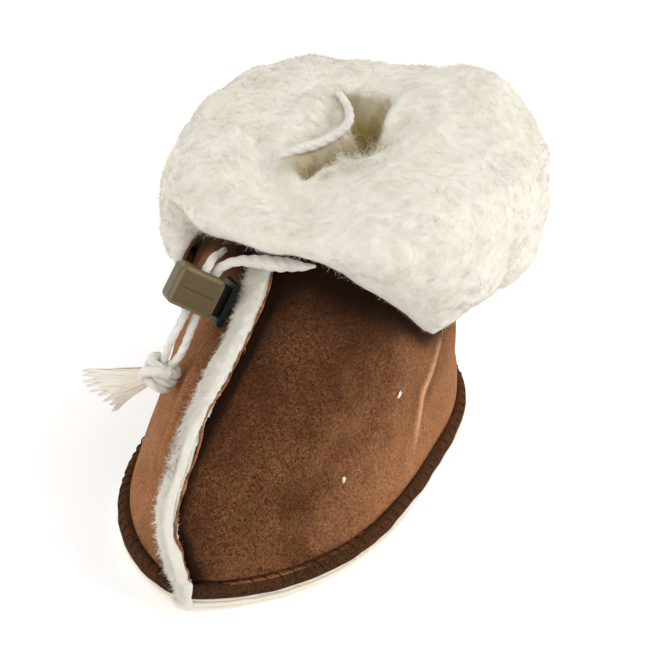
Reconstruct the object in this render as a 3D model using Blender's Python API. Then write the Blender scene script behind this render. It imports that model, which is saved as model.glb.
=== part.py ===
"""Baby slipper: a wrap-round sheepskin bootie with a turned-down cuff, a drawstring and a sprung cord lock.

Metres, +Z up. The toe points to -Y, the heel to +Y and the wearer's left is +X. The origin is on the floor,
at the middle of the sole's length. Tables are in millimetres and degrees.
"""

import math
from typing import NamedTuple

import bmesh
import bpy
import numpy as np
from mathutils import Matrix, Vector

MM = 0.001
GAP = 0.3  # between touching pieces

# Sole
SOLE_LENGTH = 118.0
SOLE_HALF_WIDTH = 33.0
SOLE_WIDEST = 13.0  # y of the widest place
TOE_POWERS = (3.3, 3.3, 1.2)  # on the left and right lengths, and on the half-width
HEEL_POWERS = (2.67, 2.3)  # on the length and on the half-width
OUTSOLE_THICKNESS = 1.7
RIM_THICKNESS = 1.3  # the sole's fleece where the flange presses it
PAD_HEIGHT = 5.0  # the sole's fleece inside the slipper
TOE_SPRING = 1.8
HEEL_SPRING = 0.6
WAIST_RISE = 0.4
TREAD = {"toe": -38.0, "waist_front": 5.0, "waist_back": 26.0, "heel": 46.0}  # y where the sole leaves the floor

# Upper
FLANGE_WIDTH = 4.0
FLANGE_THICKNESS = 1.7
FLANGE_BOTTOM = OUTSOLE_THICKNESS + RIM_THICKNESS + 2 * GAP
FLANGE_TOP = FLANGE_BOTTOM + FLANGE_THICKNESS
WALL_AT_FOOT = 6.0  # suede and fleece together
WALL_AT_COLLAR = 8.5
THROAT_HEIGHT = 60.5
RIM_HEIGHT = 73.0
RIM_ROUND = 1.2  # how far the rim bulges up between outside and lining
AROUND = 64  # points round one section
OUTER_ROWS = 15
INNER_ROWS = 10

# Front seam strip
STRIP_WIDTH = 5.2
STRIP_PROUD = 2.8

# Cuff
CUFF_AROUND = 56
ANKLE_MIDDLE = 21.0  # y of the ankle's middle

# Cord and lock
CORD = 2.4  # diameter
BARREL = Vector((11.0, 7.0, 9.2))  # along the slide, deep, along the cords
PLATE = Vector((1.5, 8.2, 10.2))
PLUNGER_TRAVEL = 1.0
PLATE_GAP = PLUNGER_TRAVEL + GAP
SLOT = Vector((2 * CORD + 0.8, CORD + 0.6, 20.0))  # the hole that both cords run through
SLOT_MIDDLE = 2.1  # along the slide, from the barrel's middle
BARREL_WALL = 0.9
RUNNING_GAP = 0.25
LOCK_MIDDLE = Vector((-13.5, -18.7, 56.7))
LOCK_SLIDE = Vector((0.756, 0.402, -0.516))  # towards the plunger's plate
LOCK_FACE = Vector((0.589, -0.762, 0.27))


class Section(NamedTuple):
    """A level section of the upper's outside."""

    height: float
    toe: float  # y of the ridge under the front seam
    heel: float  # y of the back
    half_width: float
    widest: float  # y of the widest place
    lean: float  # x of the middle line
    seam: float  # x of the ridge
    left_full: float  # power on the length ahead of the widest place: 1 is a straight side, 3 a full one
    right_full: float
    toe_round: float  # power on the half-width: 1 is a straight-sided point, 2 is round


SECTIONS = (
    Section(4.0, -55.0, 55.0, 29.0, 13.0, 0.0, -1.0, 3.3, 3.3, 1.20),
    Section(10.0, -55.4, 55.6, 30.0, 13.0, 0.0, -2.4, 2.9, 2.4, 1.20),
    Section(18.0, -53.5, 55.4, 30.4, 14.0, 0.0, -5.2, 2.5, 1.7, 1.20),
    Section(25.0, -50.5, 54.8, 30.4, 15.0, 0.0, -5.9, 2.2, 1.35, 1.20),
    Section(30.0, -47.0, 54.0, 30.0, 15.5, 0.0, -5.2, 2.1, 1.25, 1.20),
    Section(36.0, -40.2, 52.8, 29.3, 16.0, 0.0, -4.3, 2.0, 1.25, 1.22),
    Section(41.0, -31.5, 51.6, 28.4, 17.0, 0.3, -3.2, 2.0, 1.30, 1.25),
    Section(47.0, -23.2, 50.0, 27.0, 18.0, 0.7, -1.4, 2.1, 1.45, 1.30),
    Section(53.0, -13.2, 48.6, 25.5, 19.0, 1.2, -0.6, 2.3, 1.70, 1.40),
    Section(58.0, -7.6, 48.0, 24.6, 20.0, 1.8, -0.9, 2.5, 2.00, 1.50),
    Section(64.0, -5.6, 48.0, 24.6, 21.0, 2.6, -0.5, 2.6, 2.30, 1.60),
    Section(72.0, -5.0, 49.5, 25.8, 21.5, 3.6, 0.5, 2.6, 2.50, 1.70),
    Section(80.0, -5.0, 51.0, 26.6, 21.5, 4.2, 1.0, 2.6, 2.50, 1.70),
)


class CuffStation(NamedTuple):
    """The cuff at one direction from the ankle's middle: 0 is the wearer's left, -90 the toe, 90 the heel."""

    angle: float
    low: float  # height of the lower edge
    top: float
    depth: float  # how far the pile stands out from the upper
    lip: float  # how far it stands in past the lining


CUFF_STATIONS = (
    CuffStation(-90.0, 64.0, 71.0, 8.5, 1.5),
    CuffStation(-80.0, 63.2, 72.5, 9.5, 2.0),
    CuffStation(-71.0, 61.0, 74.0, 11.5, 2.0),
    CuffStation(-60.0, 57.0, 76.0, 13.5, 2.0),
    CuffStation(-42.0, 50.5, 79.5, 16.0, 2.0),
    CuffStation(-17.0, 37.0, 81.5, 19.0, 2.0),
    CuffStation(16.0, 30.0, 82.5, 20.5, 2.0),
    CuffStation(50.0, 28.5, 81.5, 17.5, 3.0),
    CuffStation(90.0, 28.0, 80.0, 13.0, 4.0),
    CuffStation(130.0, 28.5, 80.0, 12.0, 5.0),
    CuffStation(164.0, 30.0, 80.5, 11.5, 6.0),
    CuffStation(197.0, 38.0, 80.0, 11.5, 6.0),
    CuffStation(210.0, 47.5, 79.0, 11.5, 5.5),
    CuffStation(223.0, 57.0, 77.0, 11.0, 5.0),
    CuffStation(240.0, 60.0, 74.5, 10.5, 4.0),
    CuffStation(255.0, 62.5, 72.5, 9.5, 3.0),
    CuffStation(270.0, 64.0, 71.0, 8.5, 1.5),
)


class PilePoint(NamedTuple):
    """A point of the cuff's outer profile."""

    rise: float  # share of the way from the lower edge to the top
    stand: float  # share of the pile's depth


PILE_PROFILE = (
    PilePoint(0.0, 0.20),
    PilePoint(0.10, 0.52),
    PilePoint(0.28, 0.84),
    PilePoint(0.50, 1.0),
    PilePoint(0.70, 0.98),
    PilePoint(0.86, 0.78),
    PilePoint(0.96, 0.42),
)

# Cord routes
CROSSING_ROUTE = (
    (9.8, -6.0, 60.1),
    (7.6, -7.2, 60.2),
    (4.6, -8.6, 60.8),
    (2.1, -10.4, 61.5),
    (-0.1, -11.0, 61.8),
    (-2.7, -11.4, 61.7),
    (-5.2, -12.1, 61.7),
    (-7.4, -13.1, 61.2),
)
SIDE_ROUTE = (
    (-11.6, -5.3, 59.2),
    (-11.4, -6.9, 59.9),
    (-11.1, -9.5, 60.7),
    (-11.2, -12.4, 61.6),
)
INSIDE_ROUTE = (
    (-1.1, 36.5, 80.0),
    (2.5, 31.2, 79.5),
    (4.6, 27.7, 78.8),
    (5.1, 24.2, 78.0),
    (4.0, 20.8, 77.2),
    (1.6, 17.6, 76.4),
    (-1.7, 14.6, 75.6),
    (-5.3, 12.2, 75.0),
)
KNOT_MIDDLE = Vector((-19.2, -24.5, 37.2))
KNOT_SIZE = Vector((9.0, 6.8, 8.0))
TASSEL_END = Vector((-34.5, -27.0, 29.6))
TASSEL_ROOT = Vector((3.8, 2.8))
TASSEL_FAN = Vector((8.0, 3.0))

COLOURS = {
    "suede": ((0.155, 0.048, 0.020), 0.95),
    "natural_suede": ((0.78, 0.70, 0.58), 0.95),
    "fleece": ((0.80, 0.77, 0.68), 1.0),
    "cord": ((0.82, 0.76, 0.66), 0.9),
    "plastic": ((0.17, 0.13, 0.055), 0.45),
}


def smooth_step(value):
    value = np.clip(value, 0, 1)
    return value * value * (3 - 2 * value)


def curve_through(places, values, at):
    """A smooth curve through a table's values, read at one or more places."""
    slopes = np.gradient(values, places)
    index = np.clip(np.searchsorted(places, at) - 1, 0, len(places) - 2)
    span = places[index + 1] - places[index]
    part = np.clip((at - places[index]) / span, 0, 1)
    low = values[index] * (1 + 2 * part) * (1 - part) ** 2 + slopes[index] * span * part * (1 - part) ** 2
    high = values[index + 1] * part**2 * (3 - 2 * part) - slopes[index + 1] * span * part**2 * (1 - part)
    return low + high


def table_at(table, at):
    """A row of a table of named columns, read smoothly at any value of its first column."""
    columns = np.array(table, float).T
    values = [curve_through(columns[0], column, at) for column in columns[1:]]
    return type(table[0])(at, *values)


def lift(y):
    """How far the sole stands off the floor: toe spring, waist and heel spring."""
    toe = TOE_SPRING * (np.clip(TREAD["toe"] - y, 0, None) / (SOLE_LENGTH / 2 + TREAD["toe"])) ** 2
    heel = HEEL_SPRING * (np.clip(y - TREAD["heel"], 0, None) / (SOLE_LENGTH / 2 - TREAD["heel"])) ** 2
    across = np.clip((y - TREAD["waist_front"]) / (TREAD["waist_back"] - TREAD["waist_front"]), 0, 1)
    return toe + heel + WAIST_RISE * np.sin(math.pi * across) ** 2


def half_outline(section, side, count):
    """Evenly spaced points from the toe round one side to the heel."""
    turn = np.linspace(0, math.pi / 2, 160)
    full = section.left_full if side > 0 else section.right_full
    ahead = np.cos(turn) ** (2 / full)
    front_x = section.half_width * np.sin(turn) ** (2 / section.toe_round)
    front_x = side * front_x + section.lean + (section.seam - section.lean) * ahead**2
    front_y = section.widest - (section.widest - section.toe) * ahead
    behind = np.sin(turn[1:]) ** (2 / HEEL_POWERS[0])
    back_x = side * section.half_width * np.cos(turn[1:]) ** (2 / HEEL_POWERS[1]) + section.lean
    back_y = section.widest + (section.heel - section.widest) * behind
    points = np.column_stack((np.append(front_x, back_x), np.append(front_y, back_y)))
    run = np.append(0, np.cumsum(np.linalg.norm(np.diff(points, axis=0), axis=1)))
    even = np.linspace(0, run[-1], count)
    return np.column_stack((np.interp(even, run, points[:, 0]), np.interp(even, run, points[:, 1])))


def outline(section, count=AROUND):
    """A closed outline, from the toe round the wearer's left, the heel and the right."""
    left = half_outline(section, 1, count // 2 + 1)
    right = half_outline(section, -1, count // 2 + 1)
    return np.vstack((left, right[-2:0:-1]))


def sole_outline(inset):
    section = Section(
        0.0,
        -SOLE_LENGTH / 2 + inset,
        SOLE_LENGTH / 2 - inset,
        SOLE_HALF_WIDTH - inset,
        SOLE_WIDEST,
        0.0,
        SECTIONS[0].seam,
        *TOE_POWERS,
    )
    return outline(section)


def wall_at(height):
    """The upper's thickness, which grows towards the deep pile of the collar."""
    share = smooth_step((height - SECTIONS[4].height) / (RIM_HEIGHT - SECTIONS[4].height))
    return WALL_AT_FOOT + (WALL_AT_COLLAR - WALL_AT_FOOT) * share


def section_at(height, inset=0.0):
    """The upper's section at a height, moved in by a thickness measured square to its surface."""
    step = 0.5
    section = table_at(SECTIONS, height)
    above = table_at(SECTIONS, height + step)
    below = table_at(SECTIONS, height - step)

    def slant(column):
        slope = (getattr(above, column) - getattr(below, column)) / (2 * step)
        return min(math.hypot(1, slope), 2.0)

    return section._replace(
        toe=section.toe + inset * slant("toe"),
        heel=section.heel - inset * slant("heel"),
        half_width=section.half_width - inset * slant("half_width"),
    )


def point_at(height, index, inset):
    """One point of the upper's surface: index counts round the section."""
    x, y = outline(section_at(height, inset))[index]
    return x, y, height


def rim_heights():
    """The collar's height round the section: low at the throat, rising along the front opening."""
    y = outline(section_at(THROAT_HEIGHT))[:, 1]
    rise = smooth_step((y - y.min()) / (ANKLE_MIDDLE - y.min()))
    return THROAT_HEIGHT + (RIM_HEIGHT - THROAT_HEIGHT) * rise


def surface_ring(share, base, inset_of):
    """A ring of the upper's surface, a share of the way from a base height to the collar's rim."""
    heights = base + (rim_heights() - base) * share
    ring = [point_at(height, index, inset_of(height)) for index, height in enumerate(heights)]
    return raised(ring)


def raised(ring):
    """A ring that follows the sole's springs and waist, less and less further up."""
    ring = np.array(ring, float)
    ring[:, 2] += lift(ring[:, 1]) * (1 - smooth_step((ring[:, 2] - FLANGE_TOP) / 18))
    return ring


def level_ring(points, height):
    return np.column_stack((points, np.full(len(points), height)))


def new_collection(name):
    collection = bpy.data.collections.new(name)
    bpy.context.scene.collection.children.link(collection)
    return collection


def material(name):
    colour, roughness = COLOURS[name]
    made = bpy.data.materials.get(name)
    if made is None:
        made = bpy.data.materials.new(name)
        made.use_nodes = True
        shader = made.node_tree.nodes["Principled BSDF"]
        shader.inputs["Base Color"].default_value = (*colour, 1)
        shader.inputs["Roughness"].default_value = roughness
    return made


def add_object(name, data, collection, finish=None):
    obj = bpy.data.objects.new(name, data)
    collection.objects.link(obj)
    if finish:
        data.materials.append(material(finish))
    return obj


def mesh_object(name, shape, collection, finish=None, smooth=True):
    """An object from a bmesh whose faces are turned to point outwards."""
    bmesh.ops.recalc_face_normals(shape, faces=shape.faces[:])
    mesh = bpy.data.meshes.new(name)
    shape.to_mesh(mesh)
    shape.free()
    if smooth:
        mesh.shade_smooth()
        mesh.set_sharp_from_angle(angle=math.radians(35))
    return add_object(name, mesh, collection, finish)


def loft(rings, closed=False, caps=True):
    """A bmesh skinned over rings of equal length, in millimetres. Closed joins the last ring to the first."""
    shape = bmesh.new()
    loops = []
    for ring in rings:
        verts = [shape.verts.new(Vector(point) * MM) for point in ring]
        loops.append([shape.edges.new((a, b)) for a, b in zip(verts, verts[1:] + verts[:1])])
    pairs = list(zip(loops, loops[1:]))
    if closed:
        pairs.append((loops[-1], loops[0]))
    elif caps:
        bmesh.ops.contextual_create(shape, geom=loops[0])
        bmesh.ops.contextual_create(shape, geom=loops[-1])
    for lower, upper in pairs:
        skin_between(shape, lower, upper)
    return shape


def skin_between(shape, lower, upper):
    """Quads between two loops whose points already stand one over the other."""
    for a, b in zip(lower, upper):
        shape.faces.new((a.verts[0], a.verts[1], b.verts[1], b.verts[0]))


def boolean(obj, cutter, operation):
    cutter.hide_render = True
    cutter.display_type = "WIRE"
    modifier = obj.modifiers.new(cutter.name, "BOOLEAN")
    modifier.operation = operation
    modifier.solver = "EXACT"
    modifier.object = cutter


def make_outsole(parts):
    """The suede sole, a little narrower underneath than at its sewn edge."""
    rings = [
        level_ring(sole_outline(1.4), 0.0),
        level_ring(sole_outline(0.2), 0.5),
        level_ring(sole_outline(0.0), OUTSOLE_THICKNESS * 0.6),
        level_ring(sole_outline(0.15), OUTSOLE_THICKNESS),
    ]
    return mesh_object("outsole", bent_sole(rings), parts, "natural_suede")


def bent_sole(rings):
    """A level sole, cut across in steps and then bent to the springs and the waist."""
    shape = loft(rings)
    for y in np.linspace(-SOLE_LENGTH / 2, SOLE_LENGTH / 2, 26)[1:-1]:
        everything = shape.verts[:] + shape.edges[:] + shape.faces[:]
        bmesh.ops.bisect_plane(shape, geom=everything, plane_co=(0, y * MM, 0), plane_no=(0, 1, 0))
    bent = raised([vert.co / MM for vert in shape.verts])
    for vert, point in zip(shape.verts, bent):
        vert.co = Vector(point) * MM
    return shape


def make_sole_fleece(parts):
    """The sole's fleece: a thin pressed rim under the flange and a thick pad inside the upper."""
    rim_bottom = OUTSOLE_THICKNESS + GAP
    rim_top = rim_bottom + RIM_THICKNESS
    inside = section_at(FLANGE_TOP, WALL_AT_FOOT + GAP)
    shoulder = section_at(FLANGE_TOP, WALL_AT_FOOT + GAP + 1.2)
    rings = [
        level_ring(sole_outline(0.6), rim_bottom),
        level_ring(sole_outline(0.0), rim_bottom + RIM_THICKNESS / 2),
        level_ring(sole_outline(0.6), rim_top),
        level_ring(outline(inside), rim_top),
        level_ring(outline(inside), rim_bottom + PAD_HEIGHT - 1.2),
        level_ring(outline(shoulder), rim_bottom + PAD_HEIGHT),
    ]
    return mesh_object("sole_fleece", bent_sole(rings), parts, "fleece")


def make_upper(parts):
    """One hollow solid: flange, outside, rounded rim and lining, open at the collar and underneath."""
    base = FLANGE_TOP + 0.6
    outside = [surface_ring(share, base, lambda height: 0.0) for share in np.linspace(0, 1, OUTER_ROWS)]
    inside = [surface_ring(share, base, wall_at) for share in np.linspace(1, 0, INNER_ROWS)]
    rim = surface_ring(1.0, base, lambda height: wall_at(height) / 2)
    rim[:, 2] += RIM_ROUND
    flange = [
        raised(level_ring(sole_outline(0.0), FLANGE_BOTTOM)),
        raised(level_ring(sole_outline(0.0), FLANGE_TOP - 0.3)),
        raised(level_ring(sole_outline(0.4), FLANGE_TOP)),
        raised(level_ring(sole_outline(FLANGE_WIDTH - 0.3), FLANGE_TOP)),
    ]
    foot = raised(level_ring(outline(section_at(FLANGE_TOP, WALL_AT_FOOT)), FLANGE_BOTTOM))
    shape = loft(flange + outside + [rim] + inside + [foot], closed=True)
    return mesh_object("upper", shape, parts, "suede")


def upper_form(name, grown, past, collection, finish=None):
    """A closed solid of the upper's outside, grown by a thickness and reaching past the strip's two ends."""
    heights = np.linspace(FLANGE_TOP + GAP - past, THROAT_HEIGHT + past, 26)
    rings = [raised(level_ring(outline(section_at(height, -grown)), height)) for height in heights]
    return mesh_object(name, loft(rings), collection, finish)


def make_front_seam_strip(parts, cutters):
    """The proud fleece strip, cut between two forms of the upper by a slab that follows the ridge."""
    strip = upper_form("front_seam_strip", STRIP_PROUD, 0.0, parts, "fleece")
    core = upper_form("strip_core", GAP + 0.3, 1.0, cutters)
    rings = []
    for height in np.linspace(FLANGE_TOP - 4, THROAT_HEIGHT + 3, 24):
        section = section_at(height)
        half = STRIP_WIDTH / 2 * (0.88 + 0.12 * height / THROAT_HEIGHT)
        front, back = -SOLE_LENGTH / 2, section.toe + 9
        corners = ((half, front), (half, back), (-half, back), (-half, front))
        rings.append([(section.seam + x, y, height) for x, y in corners])
    slab = mesh_object("strip_slab", loft(rings), cutters)
    boolean(strip, core, "DIFFERENCE")
    boolean(strip, slab, "INTERSECT")
    return strip


def reach(height, angle, inset):
    """How far the upper's surface is from the ankle's middle, level, in one direction."""
    section = section_at(height, inset)
    points = outline(section, 160) - np.array((section.lean, ANKLE_MIDDLE))
    angles = np.degrees(np.arctan2(points[:, 1], points[:, 0]))
    order = np.argsort(angles)
    return np.interp(angle, angles[order], np.linalg.norm(points, axis=1)[order], period=360)


def on_ray(height, angle, distance):
    """A point at a distance from the ankle's middle, level, in one direction."""
    middle = table_at(SECTIONS, height).lean
    turn = math.radians(angle)
    return middle + distance * math.cos(turn), ANKLE_MIDDLE + distance * math.sin(turn), height


def cuff_profile(station):
    """The cuff's section at a station: down inside against the upper, up outside and over the rim."""
    angle = (station.angle + 180) % 360 - 180
    y = on_ray(THROAT_HEIGHT, angle, reach(THROAT_HEIGHT, angle, 0.0))[1]
    throat = section_at(THROAT_HEIGHT).toe
    rise = smooth_step((y - throat) / (ANKLE_MIDDLE - throat))
    rim = THROAT_HEIGHT + (RIM_HEIGHT - THROAT_HEIGHT) * rise + RIM_ROUND + 1.5 * GAP

    profile = []
    for height in np.linspace(rim, station.low, 6):
        profile.append(on_ray(height, angle, reach(height, angle, -2 * GAP)))
    for point in PILE_PROFILE:
        height = station.low + (station.top - station.low) * point.rise
        surface = reach(min(height, rim), angle, -GAP)
        profile.append(on_ray(height, angle, surface + point.stand * station.depth))
    lining = reach(rim, angle, wall_at(rim))
    outside = reach(rim, angle, 0.0)
    profile.append(on_ray(station.top, angle, (lining + outside) / 2))
    profile.append(on_ray(station.top - (station.top - rim) * 0.25, angle, lining - station.lip * 0.8))
    profile.append(on_ray(station.top - (station.top - rim) * 0.7, angle, lining - station.lip))
    profile.append(on_ray(rim, angle, lining))
    return profile


def make_cuff(parts):
    """The turned-down collar: a ring of deep pile over the rim, its lower edge dropping to a corner each side."""
    angles = np.linspace(-90, 270, CUFF_AROUND, endpoint=False)
    rings = [cuff_profile(table_at(CUFF_STATIONS, angle)) for angle in angles]
    return mesh_object("cuff", loft(rings, closed=True), parts, "fleece")


def curved_route(points, spacing):
    """Points of a smooth curve through a route's own points."""
    points = np.array(points, float)
    run = np.append(0, np.cumsum(np.linalg.norm(np.diff(points, axis=0), axis=1)))
    along = np.linspace(0, run[-1], max(4, round(run[-1] / spacing) + 1))
    return np.column_stack([curve_through(run, column, along) for column in points.T])


def make_cord(name, route, parts, diameter=CORD):
    curve = bpy.data.curves.new(name, "CURVE")
    curve.dimensions = "3D"
    curve.bevel_depth = diameter / 2 * MM
    curve.bevel_resolution = 2
    curve.use_fill_caps = True
    spline = curve.splines.new("POLY")
    points = curved_route(route, diameter * 0.8)
    spline.points.add(len(points) - 1)
    for target, point in zip(spline.points, points):
        target.co = (*(point * MM), 1)
    return add_object(name, curve, parts, "cord")


def lock_frame():
    """The lock's own axes: X along the slide, Y into its back, Z up along the cords."""
    slide = LOCK_SLIDE.normalized()
    back = (slide * LOCK_FACE.dot(slide) - LOCK_FACE).normalized()
    frame = Matrix((slide, back, slide.cross(back))).transposed().to_4x4()
    frame.translation = LOCK_MIDDLE * MM
    return frame


def in_lock(along, up):
    """A point between the lock's face and back, in the slipper's frame and in millimetres."""
    return (lock_frame() @ (Vector((along, 0, up)) * MM)) / MM


def block(size, middle=(0, 0, 0), round_off=0.0, segments=2):
    """A bmesh box in millimetres, its edges rounded off."""
    shape = bmesh.new()
    bmesh.ops.create_cube(shape, size=1, matrix=Matrix.Diagonal((*(Vector(size) * MM), 1)))
    if round_off:
        bmesh.ops.bevel(
            shape,
            geom=shape.edges[:],
            offset=round_off * MM,
            segments=segments,
            profile=0.5,
            affect="EDGES",
            material=-1,
        )
    bmesh.ops.translate(shape, verts=shape.verts[:], vec=Vector(middle) * MM)
    return shape


def make_lock_barrel(parts, cutters):
    """The lock's body: a chamber open at the plate's end, a slot for the cords and a parting groove."""
    barrel = mesh_object("lock_barrel", block(BARREL, round_off=1.0), parts, "plastic")
    chamber_size = Vector((BARREL.x, BARREL.y - 2 * BARREL_WALL, BARREL.z - 2 * BARREL_WALL))
    chamber = mesh_object("lock_chamber", block(chamber_size, (BARREL_WALL, 0, 0)), cutters)
    slot = mesh_object("lock_slot", block(SLOT, (SLOT_MIDDLE, 0, 0)), cutters)
    groove = mesh_object("lock_groove", block((BARREL.x * 0.72, 0.5, 0.3), (0.4, -BARREL.y / 2, 0)), cutters)
    for cutter in (chamber, slot, groove):
        boolean(barrel, cutter, "DIFFERENCE")
    for obj in (barrel, chamber, slot, groove):
        obj.matrix_world = lock_frame()
    return barrel


def make_lock_plunger(parts, cutters):
    """The plate, and a stem with a window for the cords, long enough to let them go when it is pressed in."""
    plate_middle = BARREL.x / 2 + PLATE_GAP + PLATE.x / 2
    plunger = mesh_object("lock_plunger", block(PLATE, (plate_middle, 0, 0), 0.6), parts, "plastic")
    stem_end = -BARREL.x / 2 + BARREL_WALL + PLUNGER_TRAVEL + GAP
    inside = 2 * (BARREL_WALL + RUNNING_GAP)
    stem_size = Vector((plate_middle - stem_end, BARREL.y - inside, BARREL.z - inside))
    stem = mesh_object("plunger_stem", block(stem_size, ((plate_middle + stem_end) / 2, 0, 0)), cutters)
    window_size = SLOT + Vector((PLUNGER_TRAVEL, 2 * RUNNING_GAP, 0))
    window = mesh_object("plunger_window", block(window_size, (SLOT_MIDDLE + PLUNGER_TRAVEL / 2, 0, 0)), cutters)
    boolean(plunger, stem, "UNION")
    boolean(plunger, window, "DIFFERENCE")
    for obj in (plunger, stem, window):
        obj.matrix_world = lock_frame()
    return plunger


def make_drawstring(parts):
    """The two bars outside, the bight that shows in the mouth and the two ends below the lock."""
    apart = CORD / 2 + 0.15
    near, far = SLOT_MIDDLE - apart, SLOT_MIDDLE + apart
    top, bottom = BARREL.z / 2, -BARREL.z / 2
    for name, route, along in (("drawstring_crossing", CROSSING_ROUTE, far), ("drawstring_side", SIDE_ROUTE, near)):
        make_cord(name, (*route, in_lock(along, top + 2.0), in_lock(along, top - 1.5)), parts)
    make_cord("drawstring_inside", INSIDE_ROUTE, parts)
    for name, along, shift in (("cord_strand_a", near, 1.0), ("cord_strand_b", far, 4.0)):
        knot_top = KNOT_MIDDLE + Vector((shift, 0.4, KNOT_SIZE.z / 2 + 0.7))
        make_cord(name, (in_lock(along, bottom + 1.5), in_lock(along, bottom - 1.5), knot_top), parts)


def make_knot(parts):
    """The knot of the two ends, as its outer shape."""
    shape = bmesh.new()
    bmesh.ops.create_uvsphere(shape, u_segments=20, v_segments=12, radius=0.5)
    bmesh.ops.scale(shape, verts=shape.verts[:], vec=KNOT_SIZE * MM)
    knot = mesh_object("cord_knot", shape, parts, "cord")
    knot.location = KNOT_MIDDLE * MM
    return knot


def make_tassel(parts):
    """The frayed ends, as a flattened cone that fans out from the knot."""
    axis = TASSEL_END - KNOT_MIDDLE
    start = KNOT_SIZE.x / 2 + GAP
    length = axis.length - start
    shape = bmesh.new()
    bmesh.ops.create_cone(shape, cap_ends=True, segments=18, radius1=0.5, radius2=0.5, depth=1)
    for vert in shape.verts:
        size = TASSEL_FAN if vert.co.z > 0 else TASSEL_ROOT
        vert.co = Vector((vert.co.x * size.x, vert.co.y * size.y, start + (vert.co.z + 0.5) * length)) * MM
    tassel = mesh_object("cord_tassel", shape, parts, "cord")
    tassel.rotation_euler = axis.to_track_quat("Z", "X").to_euler()
    tassel.location = KNOT_MIDDLE * MM
    return tassel


def main():
    for obj in list(bpy.data.objects):
        bpy.data.objects.remove(obj, do_unlink=True)
    parts = new_collection("baby_slipper")
    cutters = new_collection("cutters")
    make_outsole(parts)
    make_sole_fleece(parts)
    make_upper(parts)
    make_front_seam_strip(parts, cutters)
    make_cuff(parts)
    make_lock_barrel(parts, cutters)
    make_lock_plunger(parts, cutters)
    make_drawstring(parts)
    make_knot(parts)
    make_tassel(parts)


main()
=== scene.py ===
"""Baby slipper: suede and fleece, a turned-down sheepskin collar, a knotted drawstring and a sprung cord lock.

Lengths in tables are in millimetres. Everything is built in the frame's own place and rides on its bodies.
"""

import math
from typing import NamedTuple

import bmesh
import bpy
import numpy as np
from mathutils import Matrix, Vector, geometry, noise
from mathutils.bvhtree import BVHTree
from mathutils.kdtree import KDTree


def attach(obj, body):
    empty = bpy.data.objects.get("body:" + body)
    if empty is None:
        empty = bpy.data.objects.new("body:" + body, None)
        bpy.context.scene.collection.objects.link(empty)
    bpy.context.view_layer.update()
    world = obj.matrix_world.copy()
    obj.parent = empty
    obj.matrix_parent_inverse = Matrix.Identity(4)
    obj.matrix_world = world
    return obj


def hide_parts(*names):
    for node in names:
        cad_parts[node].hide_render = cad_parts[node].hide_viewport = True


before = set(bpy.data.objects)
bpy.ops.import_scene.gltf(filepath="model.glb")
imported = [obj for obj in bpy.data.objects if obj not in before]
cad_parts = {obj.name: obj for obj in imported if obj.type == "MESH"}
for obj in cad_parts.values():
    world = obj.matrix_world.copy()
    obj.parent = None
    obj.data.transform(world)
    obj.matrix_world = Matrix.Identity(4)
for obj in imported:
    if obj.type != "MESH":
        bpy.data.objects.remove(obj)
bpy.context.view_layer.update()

bl_info = {
    "name": "Baby Slipper",
    "version": (1, 0, 0),
    "blender": (4, 5, 0),
    "location": "3D View > Sidebar > Slipper",
    "description": "Builds the pieces and finishes of a fleece-lined suede baby slipper",
    "category": "Add Mesh",
}

MM = 0.001
BODY = "slipper"
DRIFT_SEED = 1  # any whole number from 1 up: 0 would change the fleece in every run
ANKLE = np.array((2.0, 21.0, 0.0))  # the ankle's middle, seen from above
FLANGE_TOP = 5.3  # height of the turned edge's upper side
EDGE_WIDTH = 3.4  # how far the turned edge reaches in from the outline
HIDE_THICKNESS = 0.75
TUCK = 5.6  # how far the collar is drawn in low on the right
CORD_STEP = 0.45  # spacing of the points along a cord

# Cord routes, as the frame has them
CROSSING_ROUTE = (
    (9.8, -6.0, 60.1),
    (7.6, -7.2, 60.2),
    (4.6, -8.6, 60.8),
    (2.1, -10.4, 61.5),
    (-0.1, -11.0, 61.8),
    (-2.7, -11.4, 61.7),
    (-5.2, -12.1, 61.7),
    (-7.4, -13.1, 61.2),
)
SIDE_ROUTE = (
    (-11.6, -5.3, 59.2),
    (-11.4, -6.9, 59.9),
    (-11.1, -9.5, 60.7),
    (-11.2, -12.4, 61.6),
)
INSIDE_ROUTE = (
    (-1.8, 37.2, 76.6),
    (0.0, 34.5, 79.3),
    (2.8, 31.2, 79.5),
    (4.9, 27.8, 79.3),
    (6.0, 24.6, 79.0),
    (5.9, 21.7, 78.7),
    (4.6, 18.3, 78.2),
    (2.3, 14.9, 77.7),
    (-0.8, 12.2, 77.2),
    (-3.4, 10.4, 76.3),
    (-5.2, 9.4, 74.6),
    (-6.6, 8.8, 72.2),
)
STRANDS_APART = 1.35  # from the slot's middle to each of the two cords in it

# How thick the visible cords are, as a share of their diameter, by the share of their length
BAR_THICKNESS = (
    (0, 0.25),
    (0.04, 0.68),
    (0.1, 1.2),
    (0.17, 1.48),
    (0.24, 1.42),
    (0.3, 1.2),
    (0.37, 0.92),
    (0.6, 0.92),
    (0.7, 0.8),
)
SIDE_THICKNESS = ((0, 0.55), (0.2, 0.75), (0.35, 0.92), (0.55, 0.92), (0.65, 0.8))

# Knot and frayed ends
KNOT_MIDDLE = Vector((-19.2, -24.5, 37.2))
KNOT_SIZE = Vector((9.0, 6.8, 8.0))
TASSEL_END = Vector((-36.6, -27.4, 30.4))

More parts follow.
